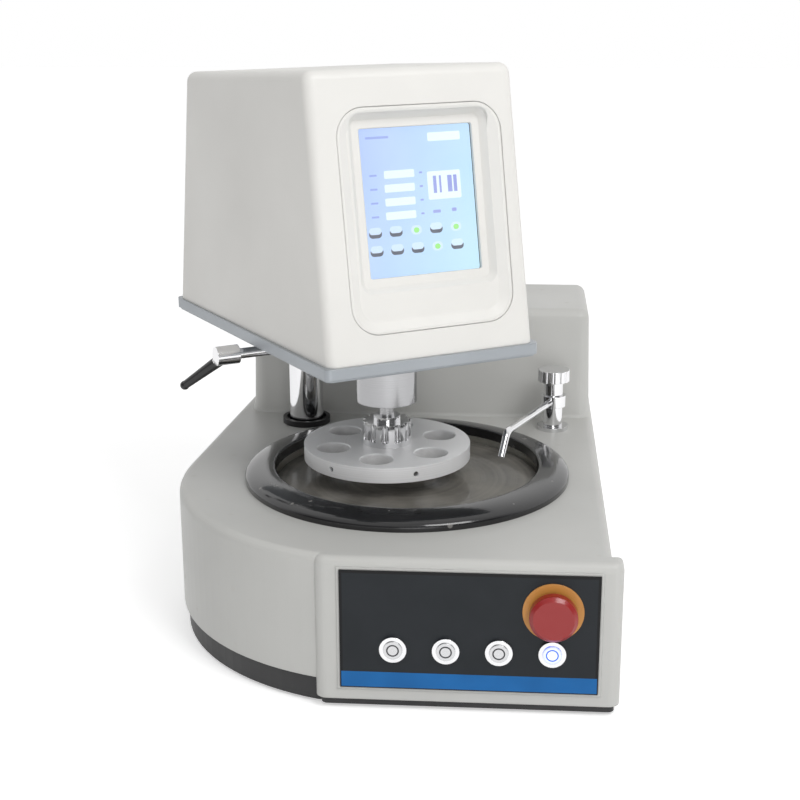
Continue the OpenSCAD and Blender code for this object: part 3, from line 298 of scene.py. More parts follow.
def finish(name, colour, roughness, metallic=0.0, blotch_colour=None, grain_mm=0.8, bump_mm=0.01,
           worn_or_highlit_edge_colour=None, wear=0.0, round_mm=0.8, dust=0.0, coat=0.0, rough_swing=0.05,
           blotch_mm=60.0, specular=0.5, drops=0.0):
    """A moulded, painted or cast surface: blotches, lighter edges (worn, and on the stop button a painted
    highlight), dust, dried drops and a fine skin.
    """
    made, tree, shader = start(name)
    skin = group_node(tree, skin_group, Grain_Size_mm=grain_mm, Blotch_Size_mm=blotch_mm)
    edge = group_node(tree, edge_group, Width_mm=round_mm, Amount=wear)
    shade = mix_colour(tree, skin["Blotches"], colour, blotch_colour or [c * 0.94 for c in colour])
    # Edges are mixed lighter: rubbed wear on most finishes, a painted highlight on the stop button.
    if wear:
        shade = mix_colour(tree, edge["Mask"], shade, worn_or_highlit_edge_colour or [min(1, c * 1.3 + 0.03) for c in colour])
    rough = spread(tree, skin["Blotches"], 0, 1, roughness - rough_swing, roughness + rough_swing)
    if dust:
        lying = group_node(tree, dust_group, Amount=dust)["Mask"]
        shade = mix_colour(tree, lying, shade, DUST_COLOUR)
        rough = maths(tree, "ADD", rough, maths(tree, "MULTIPLY", lying, 0.3), clamp=True)
    if drops:
        marks = maths(tree, "MULTIPLY", group_node(tree, drop_group, Share=drops)["Mask"], 0.25)
        shade = mix_colour(tree, marks, shade, DUST_COLOUR)
        rough = maths(tree, "ADD", rough, marks, clamp=True)
    bump = add(tree, "ShaderNodeBump", None, Height=skin["Height"], Distance=bump_mm * MM,
               Normal=edge["Normal"])
    shader.inputs["Metallic"].default_value = metallic
    shader.inputs["Coat Weight"].default_value = coat
    shader.inputs["Coat Roughness"].default_value = 0.05
    shader.inputs["Specular IOR Level"].default_value = specular
    plug(tree, shader, "Base_Color", shade)
    plug(tree, shader, "Roughness", rough)
    plug(tree, shader, "Normal", bump.outputs[0])
    return made


def turned(name, node, colour, roughness, pitch_mm=0.35, bump_mm=0.003, along=1.0, metallic=1.0,
           dark=0.85, wear=0.4, axis=(0, 0, 1), round_mm=0.5):
    """A turned metal part: rings about its own axis, whose place comes from the solid's box."""
    low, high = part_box(node)
    made, tree, shader = start(name)
    rings = group_node(tree, ring_group, Centre=(low + high) / 2, Axis=axis, Pitch_mm=pitch_mm, Along=along)
    edge = group_node(tree, edge_group, Width_mm=round_mm, Amount=wear)
    shade = mix_colour(tree, rings["Streaks"], [c * dark for c in colour], colour)
    shade = mix_colour(tree, edge["Mask"], shade, [min(1, c * 1.15) for c in colour])
    bump = add(tree, "ShaderNodeBump", None, Height=rings["Height"], Distance=bump_mm * MM,
               Normal=edge["Normal"])
    shader.inputs["Metallic"].default_value = metallic
    plug(tree, shader, "Base_Color", shade)
    plug(tree, shader, "Roughness", spread(tree, rings["Streaks"], 0, 1, roughness * 1.25, roughness * 0.85))
    plug(tree, shader, "Normal", bump.outputs[0])
    return made


def dress(made, *names):
    """Puts a material on solids of the frame."""
    for name in names:
        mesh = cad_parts[name].data
        mesh.materials.clear()
        mesh.materials.append(made)
    print(made.name, "on", ", ".join(names))


DUST_COLOUR = (0.55, 0.53, 0.5)
SHARP_ANGLE = 32

# %% [markdown]
# ## Smooth and sharp
# The solids arrive as flat triangles. A round part should shade as round, but its rims should stay
# crisp. Blender can do both: faces are marked smooth, and every edge that turns more than a set
# angle is marked sharp. The points of the mesh aren't touched. On the moulded shells the normals are
# also weighted by area, so that a long thin triangle in a round edge doesn't darken the flat face.

# %% Smooth shading for every solid
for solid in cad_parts.values():
    solid.data.polygons.foreach_set("use_smooth", [True] * len(solid.data.polygons))
    solid.data.set_sharp_from_angle(angle=radians(SHARP_ANGLE))
print("smoothed", len(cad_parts), "solids below", SHARP_ANGLE, "degrees")

# %% Flat faces stay flat beside round edges
for name in ("casing", "head_cover", "screen_bezel"):
    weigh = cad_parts[name].modifiers.new("weighted normals", "WEIGHTED_NORMAL")
    weigh.mode = "FACE_AREA"
    weigh.weight = 100
    weigh.keep_sharp = True
print("large faces lead the shading of the shells")

# %% [markdown]
# ## The moulded shells
# The base and the head wear moulded shells. The head is a warm white and the base a light grey,
# both with a satin skin that is a little uneven, and with dust on what lies flat. The base also
# gets dried water marks, because it stands beside the bowl. Noise gives all of it, at the size that
# a hand would see on the machine.

# %% Cream shell of the head
cream_shell = finish("cream shell", (0.77, 0.76, 0.73), 0.42, grain_mm=1.4, bump_mm=0.02, wear=0.25,
                     round_mm=1.6, dust=0.10, blotch_mm=140)
dress(cream_shell, "head_cover", "screen_bezel")

# %% Grey shell of the base
grey_shell = finish("grey shell", (0.53, 0.53, 0.51), 0.40, grain_mm=1.4, bump_mm=0.02, wear=0.3,
                    round_mm=1.6, dust=0.14, blotch_mm=120, drops=0.12)
dress(grey_shell, "casing")

# %% [markdown]
# ## Painted steel
# The pan under the base, the deck, the motors and the box are powder coated. Powder coat has a
# coarser skin than a moulding, and it rubs through to bright metal at its edges. The head's plate
# has a harder slate grey coat with a sheen of its own, so it is partly metallic.

# %% Black powder coat and slate plate
black_coat = finish("black powder coat", (0.018, 0.018, 0.019), 0.48, grain_mm=0.5, bump_mm=0.03, wear=0.7,
                    worn_or_highlit_edge_colour=(0.20, 0.20, 0.20), dust=0.25)
dress(black_coat, "base_pan", "drive_deck", "control_box", "pulley_bridge", "motor", "head_motor")
slate_plate = finish("slate plate", (0.36, 0.385, 0.41), 0.36, metallic=0.45, grain_mm=0.6, bump_mm=0.012,
                     wear=0.8, worn_or_highlit_edge_colour=(0.5, 0.52, 0.54), round_mm=1.2, dust=0.08)
dress(slate_plate, "head_plate")

# %% Zinc sheet at the back
zinc_sheet = finish("zinc sheet", (0.52, 0.53, 0.54), 0.34, metallic=1.0, blotch_colour=(0.60, 0.61, 0.62),
                    grain_mm=0.3, bump_mm=0.006, wear=0.4, blotch_mm=14, rough_swing=0.08, dust=0.06)
dress(zinc_sheet, "back_plate")

# %% [markdown]
# ## Turned and plated metal
# The column, the sleeve, the tap and the coupling are plated: nearly a mirror, with the faintest
# rings from the lathe. The holder and the platen are bare aluminium, so their rings are wide enough
# to see and their gloss is soft. Each part gets its own material, because the rings have to run
# about its own axis.

# %% Plated parts
CHROME = (0.80, 0.80, 0.81)
for node, pitch in (("column", 0.5), ("tap_body", 0.3), ("tap_knob", 0.4), ("holder_hub", 0.4)):
    dress(turned("plate of " + node, node, CHROME, 0.09, pitch_mm=pitch, bump_mm=0.0012, dark=0.92), node)
dress(turned("ground sleeve", "quill_sleeve", (0.42, 0.42, 0.43), 0.16, pitch_mm=0.5, bump_mm=0.002,
             dark=0.85), "quill_sleeve")
plated = finish("plated trim", CHROME, 0.10, metallic=1.0, grain_mm=0.4, bump_mm=0.0015, wear=0.2,
                round_mm=0.5, rough_swing=0.04, blotch_mm=18)
dress(plated, "tap_spout", "button_bezels")

# %% Aluminium parts
ALUMINIUM = (0.72, 0.72, 0.725)
for node, roughness, pitch in (("platen", 0.38, 0.6), ("bearing_housing", 0.45, 0.5),
                               ("platen_pulley", 0.4, 0.5), ("motor_pulley", 0.4, 0.5),
                               ("head_pulley", 0.4, 0.4), ("head_motor_pulley", 0.4, 0.4),
                               ("load_cylinder", 0.3, 0.3), ("column_socket", 0.45, 0.6)):
    dress(turned("aluminium of " + node, node, ALUMINIUM, roughness, pitch_mm=pitch, bump_mm=0.006,
                 dark=0.8), node)

# %% Holder: bright satin aluminium
dress(turned("satin aluminium of the holder", "specimen_holder", (0.93, 0.93, 0.935), 0.42, pitch_mm=0.7,
             bump_mm=0.006, metallic=0.35, dark=0.85), "specimen_holder")

# %% Steel parts
STEEL = (0.56, 0.56, 0.57)
for node in ("platen_shaft", "platen_bearings", "quill_bearings", "quill", "spindle_shaft", "set_screws"):
    dress(turned("steel of " + node, node, STEEL, 0.25, pitch_mm=0.25, dark=0.8), node)
machined = finish("machined steel", STEEL, 0.30, metallic=1.0, grain_mm=0.4, bump_mm=0.006, wear=0.5,
                  blotch_mm=25)
dress(machined, "load_yoke", "swing_hub", "quill_clamp", "back_screws")

# %% Bronze and copper
bronze = finish("bronze", (0.60, 0.40, 0.19), 0.35, metallic=1.0, blotch_colour=(0.42, 0.27, 0.14),
                blotch_mm=8)
dress(bronze, "swing_bushes")
copper = finish("copper", (0.72, 0.40, 0.27), 0.28, metallic=1.0, blotch_colour=(0.50, 0.24, 0.17),
                blotch_mm=20, rough_swing=0.1)
dress(copper, "water_pipe")

# %% [markdown]
# ## The bowl
# The splash ring is a glossy black moulding with dried drops on it, the liner inside it is a plain
# light plastic, and the disc is a napped cloth soaked with water. The cloth's nap comes from fine
# noise, the turning disc draws it into rings, and the water in it is a thin clear coat.

# %% Splash ring and liner
gloss_black = finish("gloss black", (0.006, 0.006, 0.007), 0.15, grain_mm=2.5, bump_mm=0.02, wear=0.0,
                     round_mm=0.8, coat=0.4, dust=0.02, drops=0.25, rough_swing=0.04)
dress(gloss_black, "splash_ring")
liner = finish("bowl liner", (0.50, 0.49, 0.44), 0.40, blotch_colour=(0.36, 0.34, 0.29), grain_mm=1.0,
               bump_mm=0.02, blotch_mm=25, drops=0.5, dust=0.1)
dress(liner, "basin")

# %% Polishing cloth
polishing_cloth, cloth_tree, cloth_shader = start("polishing cloth")
cloth_rings = group_node(cloth_tree, ring_group, Centre=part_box("polishing_disc")[1] * 0.5
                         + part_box("polishing_disc")[0] * 0.5, Axis=(0, 0, 1), Pitch_mm=5.0, Along=0.0)
nap = group_node(cloth_tree, skin_group, Grain_Size_mm=0.5, Blotch_Size_mm=35.0)
cloth_colour = mix_colour(cloth_tree, nap["Blotches"], (0.17, 0.160, 0.140), (0.085, 0.080, 0.072))
drawn = maths(cloth_tree, "MULTIPLY", cloth_rings["Streaks"], 0.4)
cloth_colour = mix_colour(cloth_tree, drawn, cloth_colour, (0.25, 0.235, 0.20))
wet_shine = spread(cloth_tree, nap["Blotches"], 0.2, 0.9, 0.45, 0.95)
nap_bump = add(cloth_tree, "ShaderNodeBump", None, Height=nap["Height"], Distance=0.06 * MM)
plug(cloth_tree, cloth_shader, "Base_Color", cloth_colour)
plug(cloth_tree, cloth_shader, "Roughness", spread(cloth_tree, nap["Height"], 0.3, 0.7, 0.5, 0.75))
plug(cloth_tree, cloth_shader, "Coat_Weight", wet_shine)
plug(cloth_tree, cloth_shader, "Normal", nap_bump.outputs[0])
cloth_shader.inputs["Coat Roughness"].default_value = 0.12
dress(polishing_cloth, "polishing_disc")

# %% [markdown]
# ## Plastic and rubber
# The small plastic pieces share a matte black and a matte grey. The belts and the feet are rubber,
# which is darker, rougher and catches dust.

# %% Plain plastics and rubber
matte_black = finish("matte black plastic", (0.014, 0.014, 0.015), 0.42, grain_mm=0.5, bump_mm=0.02, wear=0.3,
                     worn_or_highlit_edge_colour=(0.06, 0.06, 0.06), dust=0.12)
dress(matte_black, "power_inlet", "screen_module", "column_collar")
matte_grey = finish("matte grey plastic", (0.26, 0.27, 0.28), 0.45, grain_mm=0.6, bump_mm=0.02, wear=0.3,
                    dust=0.15)
dress(matte_grey, "drain_pipe", "estop_block", "estop_stem")
rubber = finish("rubber", (0.016, 0.016, 0.016), 0.75, grain_mm=0.7, bump_mm=0.05, dust=0.3, specular=0.3)
dress(rubber, "feet", "drive_belt", "head_belt")

# %% [markdown]
# ## The clamp lever
# The lever is one piece that turns, but it has two finishes: a plated stud with its boss, and a
# black moulded arm. The material tells them apart by the distance from the stud's own axis.

# %% Lever: a plated stud and a black arm
HEAD_YAW = 30.6
COLUMN_PLACE = Vector((-95.2, 99.5, 0)) * MM
HEAD = Matrix.Translation(COLUMN_PLACE) @ Matrix.Rotation(radians(HEAD_YAW), 4, "Z")
STUD_PLACE = HEAD @ (Vector((0, -134, 260)) * MM)
STUD_AXIS = HEAD.to_3x3() @ Vector((1, 0, 0))
BOSS_RADIUS = 9.3

lever_finish, lever_tree, lever_shader = start("clamp lever")
lever_rings = group_node(lever_tree, ring_group, Centre=STUD_PLACE, Axis=STUD_AXIS, Pitch_mm=0.4, Along=1.0)
lever_skin = group_node(lever_tree, skin_group, Grain_Size_mm=0.5)
lever_edge = group_node(lever_tree, edge_group, Width_mm=0.8, Amount=0.3)
is_stud = maths(lever_tree, "LESS_THAN", lever_rings["Distance mm"], BOSS_RADIUS)
arm_colour = mix_colour(lever_tree, lever_edge["Mask"], (0.012, 0.012, 0.013), (0.07, 0.07, 0.07))
plug(lever_tree, lever_shader, "Base_Color", mix_colour(lever_tree, is_stud, arm_colour, CHROME))
plug(lever_tree, lever_shader, "Metallic", is_stud)
plug(lever_tree, lever_shader, "Roughness", spread(lever_tree, is_stud, 0, 1, 0.22, 0.12))
lever_bump = add(lever_tree, "ShaderNodeBump", None, Height=lever_skin["Height"], Distance=0.01 * MM,
                 Normal=lever_edge["Normal"])
plug(lever_tree, lever_shader, "Normal", lever_bump.outputs[0])
dress(lever_finish, "clamp_lever")

# %% [markdown]
# ## The control panel
# The panel is a charcoal film with a black line round it and a blue stripe along its foot. The film
# is printed, so the pattern belongs in the material: it compares each point's place with the
# panel's edges. The words of the real film are left off.

# %% Panel film
PANEL_LINE = 2.4
STRIPE_HEIGHT = 15.0
STRIPE_MARGIN = 1.0


def between(tree, value, low, high):
    """1 where a value lies between two others."""
    return maths(tree, "MULTIPLY", maths(tree, "GREATER_THAN", value, low),
                 maths(tree, "LESS_THAN", value, high))


panel_low, panel_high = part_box("control_panel")
panel_film, panel_tree, panel_shader = start("panel film")
panel_place = add(panel_tree, "ShaderNodeSeparateXYZ", None,
                  Vector=add(panel_tree, "ShaderNodeTexCoord").outputs["Object"])
line = PANEL_LINE * MM
in_x = between(panel_tree, panel_place.outputs["X"], panel_low.x + line, panel_high.x - line)
in_z = between(panel_tree, panel_place.outputs["Z"], panel_low.z, panel_high.z - line)
margin = STRIPE_MARGIN * MM
stripe = maths(panel_tree, "MULTIPLY",
               between(panel_tree, panel_place.outputs["X"], panel_low.x + margin, panel_high.x - margin),
               between(panel_tree, panel_place.outputs["Z"], panel_low.z + margin,
                       panel_low.z + STRIPE_HEIGHT * MM))
panel_skin = group_node(panel_tree, skin_group, Grain_Size_mm=0.5, Blotch_Size_mm=40.0)
charcoal = mix_colour(panel_tree, panel_skin["Blotches"], (0.013, 0.016, 0.020), (0.010, 0.013, 0.016))
ground = mix_colour(panel_tree, maths(panel_tree, "MULTIPLY", in_x, in_z), (0.004, 0.004, 0.005), charcoal)
blue = mix_colour(panel_tree, panel_skin["Blotches"], (0.008, 0.135, 0.400), (0.006, 0.110, 0.330))
plug(panel_tree, panel_shader, "Base_Color", mix_colour(panel_tree, stripe, ground, blue))
plug(panel_tree, panel_shader, "Roughness", spread(panel_tree, panel_skin["Blotches"], 0, 1, 0.30, 0.40))
panel_shader.inputs["Specular IOR Level"].default_value = 0.25
panel_bump = add(panel_tree, "ShaderNodeBump", None, Height=panel_skin["Height"], Distance=0.012 * MM)
plug(panel_tree, panel_shader, "Normal", panel_bump.outputs[0])
dress(panel_film, "control_panel")

# %% Stop button and its ring
# The light red on the stop button's chamfered edges is a painted highlight, laid on through the edge mask.
stop_red_painted_highlight = finish("stop red with painted edge highlight", (0.29, 0.008, 0.008), 0.28, grain_mm=0.8, bump_mm=0.008, wear=0.5,
                  worn_or_highlit_edge_colour=(0.75, 0.16, 0.14), round_mm=1.0, coat=0.2)
dress(stop_red_painted_highlight, "estop_head")
ring_orange = finish("ring orange", (0.56, 0.25, 0.055), 0.36, grain_mm=0.6, bump_mm=0.008, blotch_mm=15,
                     wear=0.3)
dress(ring_orange, "estop_label")

# %% [markdown]
# ## Push buttons
# Each button is a turned steel cap in a plated bezel. A dark groove is turned into
# the cap; it depends only on the distance from its axis. The fourth button is lit, so its groove
# glows blue and its middle nearly white.

# %% Button caps
FRONT = (0, 1, 0)
GROOVE = (4.2, 5.4)
for number in range(1, 5):
    node = "button_" + str(number)
    low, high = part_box(node)
    made, tree, shader = start("cap of " + node)
    rings = group_node(tree, ring_group, Centre=(low + high) / 2, Axis=FRONT, Pitch_mm=0.25, Along=0.0)
    edge = group_node(tree, edge_group, Width_mm=0.5, Amount=0.3)
    groove = between(tree, rings["Distance mm"], *GROOVE)
    lit = number == 4
    cap_colour = mix_colour(tree, rings["Streaks"], (0.52, 0.52, 0.53), (0.68, 0.68, 0.69))
    groove_colour = (0.03, 0.08, 0.6) if lit else (0.03, 0.03, 0.035)
    plug(tree, shader, "Base_Color", mix_colour(tree, groove, cap_colour, groove_colour))
    plug(tree, shader, "Metallic", maths(tree, "SUBTRACT", 1.0, groove))
    plug(tree, shader, "Roughness", spread(tree, rings["Streaks"], 0, 1, 0.34, 0.24))
    height = maths(tree, "ADD", maths(tree, "MULTIPLY", groove, -1.0),
                   maths(tree, "MULTIPLY", rings["Height"], 0.04))
    cap_bump = add(tree, "ShaderNodeBump", None, Height=height, Distance=0.3 * MM, Normal=edge["Normal"])
    plug(tree, shader, "Normal", cap_bump.outputs[0])
    if lit:
        glow = mix_colour(tree, groove, mix_colour(tree, spread(tree, rings["Distance mm"], 1.0, 7.5),
                                                   (0.70, 0.80, 1.0), (0.06, 0.12, 0.9)), (0.05, 0.12, 1.0))
        plug(tree, shader, "Emission_Color", glow)
        shader.inputs["Emission Strength"].default_value = 1.1
    dress(made, node)

# %% [markdown]
# ## The screen
# The screen is a clear cover glass over a lit picture. The glass stays the frame's own solid with a
# glass shader. The picture is built from thin tiles just inside it: a page with a soft blue
# gradient, pale fields, a small chart and two rows of keys. All of them are plain shapes without
# words. Tiles keep the shapes crisp at any distance, which a pattern made of maths would not.

# %% Glass
glass, glass_tree, glass_shader = start("cover glass")
glass_skin = group_node(glass_tree, skin_group, Grain_Size_mm=3.0, Blotch_Size_mm=30.0)
plug(glass_tree, glass_shader, "Roughness", spread(glass_tree, glass_skin["Blotches"], 0, 1, 0.0, 0.03))
glass_shader.inputs["Base Color"].default_value = (0.97, 0.985, 0.99, 1)
glass_shader.inputs["Transmission Weight"].default_value = 1.0
glass_shader.inputs["IOR"].default_value = 1.5
dress(glass, "screen_glass")

# %% The leaning face of the head, and shapes on it
FRONT_LEAN = 10.5
FACE_FOOT = Vector((0, -297, 282)) * MM
FACE = HEAD @ Matrix.Translation(FACE_FOOT) @ Matrix.Rotation(radians(90 - FRONT_LEAN), 4, "X")
SCREEN_UP = 135
SCREEN_SIDE = 5
SCREEN_SIZE = (109, 128)
GLASS_BACK = -16


def new_piece(name, mesh_maker, body, made, smooth=True):
    """An object from a bmesh, on a body, with the given finish."""
    mesh = bpy.data.meshes.new(name)
    shape = bmesh.new()
    mesh_maker(shape)
    bmesh.ops.recalc_face_normals(shape, faces=shape.faces)
    shape.to_mesh(mesh)
    shape.free()
    piece = bpy.data.objects.new(name, mesh)
    scene.collection.objects.link(piece)
    mesh.materials.append(made)
    if smooth:
        mesh.polygons.foreach_set("use_smooth", [True] * len(mesh.polygons))
        mesh.set_sharp_from_angle(angle=radians(SHARP_ANGLE))
    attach(piece, body)
    print(name, "has", len(mesh.vertices), "points and rides on", body)
    return piece


def prism(shape, outline, low, high, place):
    """A closed slab between two levels with this outline, in millimetres, moved by a matrix."""
    rings = [[shape.verts.new(place @ (Vector((x, y, z)) * MM)) for x, y in outline] for z in (low, high)]
    shape.faces.new(list(reversed(rings[0])))
    shape.faces.new(rings[1])
    count = len(outline)
    for i in range(count):
        j = (i + 1) % count
        shape.faces.new((rings[0][i], rings[0][j], rings[1][j], rings[1][i]))


def rounded_box(x, y, width, height, radius, steps=6):
    """The outline of a box with round corners about a middle point."""
    points = []
    for corner, (side, up) in enumerate(((1, 1), (-1, 1), (-1, -1), (1, -1))):
        for step in range(steps + 1):
            angle = radians(90 * corner + 90 * step / steps)
            points.append((x + side * (width / 2 - radius) + radius * cos(angle),
                           y + up * (height / 2 - radius) + radius * sin(angle)))
    return points


print("face of the head leans back", FRONT_LEAN, "degrees")

# %% Light of the screen
SCREEN_LIGHT = 1.08


def lit_tile(name, colour, far_colour=None, reach=130.0):
    """A lit colour that may change slowly from the left to the right, with faint blotches."""
    made, tree, shader = start(name)
    place = add(tree, "ShaderNodeTexCoord").outputs["Object"]
    ahead = FACE.to_3x3() @ Vector((1, -0.35, 0)).normalized()
    centre = FACE @ (Vector((SCREEN_SIDE, SCREEN_UP, 0)) * MM)
    offset = vector_maths(tree, "SUBTRACT", place, centre).outputs[0]
    way = vector_maths(tree, "DOT_PRODUCT", offset, ahead).outputs["Value"]
    shade = mix_colour(tree, spread(tree, way, -reach * MM / 2, reach * MM / 2), colour, far_colour or colour)
    skin = group_node(tree, skin_group, Grain_Size_mm=0.6, Blotch_Size_mm=45.0)
    shade = mix_colour(tree, maths(tree, "MULTIPLY", skin["Blotches"], 0.12), shade, (0.85, 0.95, 1.0))
    plug(tree, shader, "Base_Color", (0.02, 0.02, 0.02))
    plug(tree, shader, "Emission_Color", shade)
    shader.inputs["Emission Strength"].default_value = SCREEN_LIGHT
    shader.inputs["Roughness"].default_value = 0.6
    return made


def tiles(name, outlines, level, made):
    """Thin tiles on the back of the glass, at a level above it in tenths of a millimetre."""
    low = GLASS_BACK + 0.02 + 0.1 * level
    place = FACE @ Matrix.Translation(Vector((SCREEN_SIDE, SCREEN_UP, 0)) * MM)

    def build(shape):
        for outline in outlines:
            prism(shape, outline, low, low + 0.06, place)

    return new_piece(name, build, "head", made, smooth=False)


# %% Page, fields and chart
page_light = lit_tile("page light", (0.47, 0.60, 0.97), (0.56, 0.82, 0.98))
tiles("screen_page", [rounded_box(0, 0, *SCREEN_SIZE, 1.9)], 0, page_light)
pale_light = lit_tile("pale light", (0.80, 0.93, 0.98), (0.88, 0.98, 1.0))
FIELD_PITCH = 11.8
fields = [rounded_box(28.5, 54, 32, 7.5, 1.2), rounded_box(25.5, 12, 32.5, 24.5, 1.5)]
fields += [rounded_box(-17.5 - 0.4 * row, 24 - FIELD_PITCH * row, 29, 6.8, 1.2) for row in range(4)]
tiles("screen_fields", fields, 1, pale_light)
mark_light = lit_tile("mark light", (0.30, 0.40, 0.82), (0.34, 0.36, 0.75))
marks = [rounded_box(16.3, 12.8, 3.2, 15, 0.4), rounded_box(21.6, 12.8, 2.0, 15, 0.4),
         rounded_box(31.0, 12.8, 4.4, 14.5, 0.4), rounded_box(36.4, 12.8, 3.4, 14.5, 0.4),
         rounded_box(16.2, -10.6, 7.5, 2.6, 0.8), rounded_box(33.3, -10.2, 4.5, 3.0, 0.8)]
marks += [rounded_box(-42.5 - 0.3 * row, 24 - FIELD_PITCH * row, 7, 1.6, 0.6) for row in range(4)]
marks += [rounded_box(3.2 - 0.3 * row, 24 - FIELD_PITCH * row, 3.2, 1.6, 0.6) for row in range(4)]
marks.append(rounded_box(-36, 56, 22, 2.0, 0.7))
tiles("screen_marks", marks, 2, mark_light)

# %% Keys of the screen
KEY_COLUMNS = (-44.8, -25.0, -5.2, 14.2, 33.8)
KEY_ROWS = (-24.5, -40.2)
GREEN_KEYS = ((2, 0), (4, 0), (3, 1))
key_shadow_light = lit_tile("key shadow light", (0.075, 0.075, 0.11))
key_light = lit_tile("key light", (0.62, 0.76, 0.98), (0.70, 0.88, 1.0))
green_light = lit_tile("green light", (0.36, 0.86, 0.22))
shadows, faces, greens = [], [], []
for column, x in enumerate(KEY_COLUMNS):
    for row, y in enumerate(KEY_ROWS):
        if (column, row) in GREEN_KEYS:
            faces.append(rounded_box(x, y - 0.6, 10.5, 8.0, 3.9))
            greens.append(rounded_box(x, y - 0.8, 5.4, 4.6, 2.2))
        else:
            shadows.append(rounded_box(x, y - 1.2, 12.4, 7.4, 3.6))
            faces.append(rounded_box(x, y + 1.2, 11.6, 6.0, 2.9))
tiles("screen_key_shadows", shadows, 1, key_shadow_light)
tiles("screen_keys", faces, 2, key_light)
tiles("screen_green_keys", greens, 3, green_light)

# %% [markdown]
# ## Screws at the back
# The back plate is held by six pan-head screws. The frame has their heads as plain discs, so these
# pieces stand for them: a low dome with a cross recess, cut as a dip in the dome's own mesh.

# %% Pan-head screws with a cross recess
SCREW_RADIUS = 4.0
SCREW_HEIGHT = 2.4
SLOT_HALF = 0.42
SLOT_REACH = 2.5
SLOT_FLOOR = 2.2
SCREW_SHANK = 2.0
RECESS = 1.1


def pan_head(shape, place):
    """A lathe-turned head about +Z whose middle sinks along two crossing slots."""
    rows = ((SCREW_SHANK, -2.0), (SCREW_SHANK, 0.0), (SCREW_RADIUS, 0.0), (SCREW_RADIUS, 1.0), (3.8, 1.6),
            (3.2, 2.05), (2.6, 2.25), (2.2, 2.3), (1.7, 2.35), (1.2, 2.38), (0.8, SCREW_HEIGHT),
            (0.4, SCREW_HEIGHT))
    count = 48
    rings = []
    for radius, height in rows:
        ring = []
        for i in range(count):
            x, y = radius * cos(2 * pi * i / count), radius * sin(2 * pi * i / count)
            in_slot = height > SLOT_FLOOR and min(abs(x), abs(y)) < SLOT_HALF and radius < SLOT_REACH
            ring.append(shape.verts.new(place @ (Vector((x, y, height - (RECESS if in_slot else 0))) * MM)))
        rings.append(ring)
    for first, second in zip(rings, rings[1:]):
        for i in range(count):
            j = (i + 1) % count
            shape.faces.new((first[i], first[j], second[j], second[i]))
    shape.faces.new(list(reversed(rings[0])))
    tip = shape.verts.new(place @ (Vector((0, 0, SCREW_HEIGHT - RECESS)) * MM))
    for i in range(count):
        shape.faces.new((rings[-1][i], rings[-1][(i + 1) % count], tip))


screw_low, screw_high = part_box("back_screws")
plate_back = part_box("back_plate")[1].y


def build_screws(shape):
    facing_back = Matrix.Rotation(radians(-90), 4, "X")
    half = SCREW_RADIUS * MM
    xs = (screw_low.x + half, (screw_low.x + screw_high.x) / 2, screw_high.x - half)
    for number, x in enumerate(xs):
        for level, z in enumerate((screw_low.z + half, screw_high.z - half)):
            turned_by = Matrix.Rotation(radians(37 * number + 61 * level), 4, "Z")
            pan_head(shape, Matrix.Translation((x, plate_back, z)) @ facing_back @ turned_by)


screws = new_piece("pan_head_screws", build_screws, "base", machined)
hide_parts("back_screws")

# %% [markdown]
# ## Floor and light
# The machine stands on a pale floor in plain soft light. The world gives an even light to matt
# surfaces, and a room to polished ones: white behind and above the machine, and dim in front of it,
# as a studio has, so that plated parts show bright and dark bands. One large lamp from the right
# gives the shading, and a low lamp in front lights the space under the head. Light Path keeps what
# the camera sees of the background white.

# %% World
PLAIN_LEVEL = 0.60
world = bpy.data.worlds.new("studio")
scene.world = world
world.use_nodes = True
world_tree = world.node_tree
world_tree.nodes.clear()
ray = add(world_tree, "ShaderNodeLightPath").outputs
seen = maths(world_tree, "ADD", ray["Is Camera Ray"], ray["Is Transmission Ray"], clamp=True)
towards = add(world_tree, "ShaderNodeSeparateXYZ", None,
              Vector=add(world_tree, "ShaderNodeTexCoord").outputs["Generated"]).outputs
behind = spread(world_tree, towards["Y"], -0.35, 0.1, 0.12, 1.0)
above = spread(world_tree, towards["Z"], 0.35, 0.8, 0.0, 0.8)
room = maths(world_tree, "MAXIMUM", behind, above)
level = add(world_tree, "ShaderNodeMix", {"data_type": "FLOAT"})
for place, value in ((0, ray["Is Glossy Ray"]), (2, PLAIN_LEVEL), (3, room)):
    plug(world_tree, level, "in_" + str(place), value)
strength = add(world_tree, "ShaderNodeMix", {"data_type": "FLOAT"})
for place, value in ((0, seen), (2, level.outputs[0]), (3, 1.0)):
    plug(world_tree, strength, "in_" + str(place), value)
sky = add(world_tree, "ShaderNodeBackground", None, Color=(1, 1, 1), Strength=strength.outputs[0])
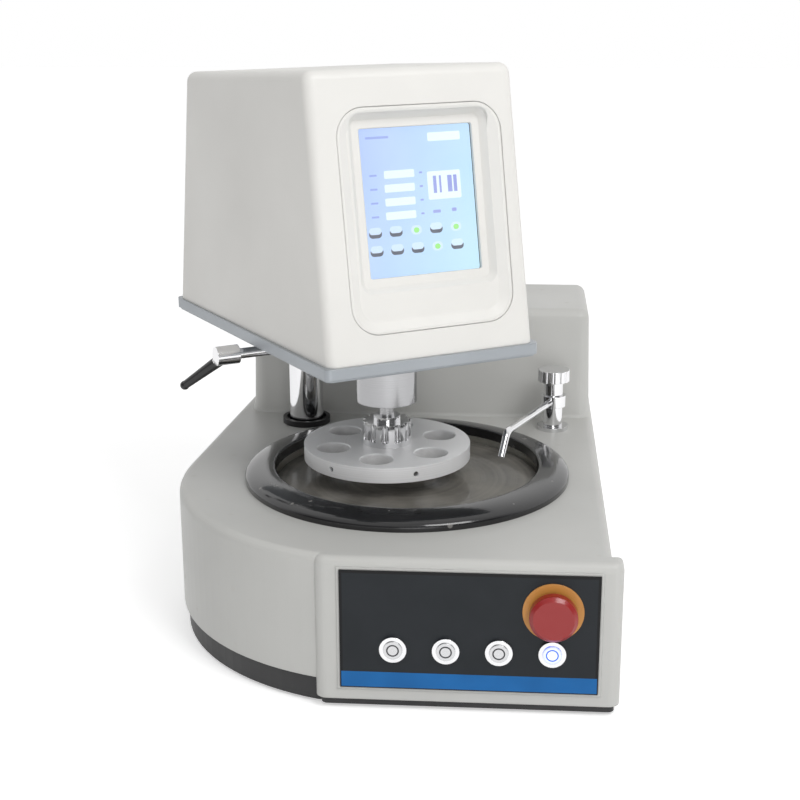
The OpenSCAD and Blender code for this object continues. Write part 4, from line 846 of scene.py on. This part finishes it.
add(world_tree, "ShaderNodeOutputWorld", None, Surface=sky.outputs[0])
print("world light", PLAIN_LEVEL)

# %% Floor
FLOOR_SIZE = 14.0
floor_mesh = bpy.data.meshes.new("floor")
floor_shape = bmesh.new()
bmesh.ops.create_grid(floor_shape, x_segments=1, y_segments=1, size=FLOOR_SIZE / 2)
floor_shape.to_mesh(floor_mesh)
floor_shape.free()
floor = bpy.data.objects.new("floor", floor_mesh)
scene.collection.objects.link(floor)
floor_finish, floor_tree, floor_shader = start("pale floor")
floor_skin = group_node(floor_tree, skin_group, Grain_Size_mm=4.0, Blotch_Size_mm=400.0)
floor_colour = mix_colour(floor_tree, floor_skin["Blotches"], (0.90, 0.90, 0.90), (0.88, 0.88, 0.88))
plug(floor_tree, floor_shader, "Base_Color", floor_colour)
plug(floor_tree, floor_shader, "Roughness", spread(floor_tree, floor_skin["Height"], 0.3, 0.7, 0.75, 0.85))
floor_ray = add(floor_tree, "ShaderNodeLightPath").outputs
shown = maths(floor_tree, "ADD", floor_ray["Is Camera Ray"], floor_ray["Is Glossy Ray"])
shown = maths(floor_tree, "ADD", shown, floor_ray["Is Transmission Ray"], clamp=True)
plug(floor_tree, floor_shader, "Emission_Color", (1, 1, 1))
plug(floor_tree, floor_shader, "Emission_Strength", maths(floor_tree, "MULTIPLY", shown, 0.45))
floor_mesh.materials.append(floor_finish)
print("floor", FLOOR_SIZE, "m")

# %% Lamps
def soft_lamp(name, power, size, place, aim):
    """A square lamp at a place in metres that looks at another place."""
    lamp = bpy.data.objects.new(name, bpy.data.lights.new(name, "AREA"))
    lamp.data.size = size
    lamp.data.energy = power
    lamp.location = place
    lamp.rotation_mode = "QUATERNION"
    lamp.rotation_quaternion = (Vector(aim) - Vector(place)).to_track_quat("-Z", "Y")
    scene.collection.objects.link(lamp)
    print(name, "of", power, "W at", place)


soft_lamp("key lamp", 18, 0.9, (0.95, -1.15, 1.75), (0, 0, 0.25))
soft_lamp("fill lamp", 3.5, 0.7, (0.35, -1.7, 0.42), (0, 0.2, 0.22))
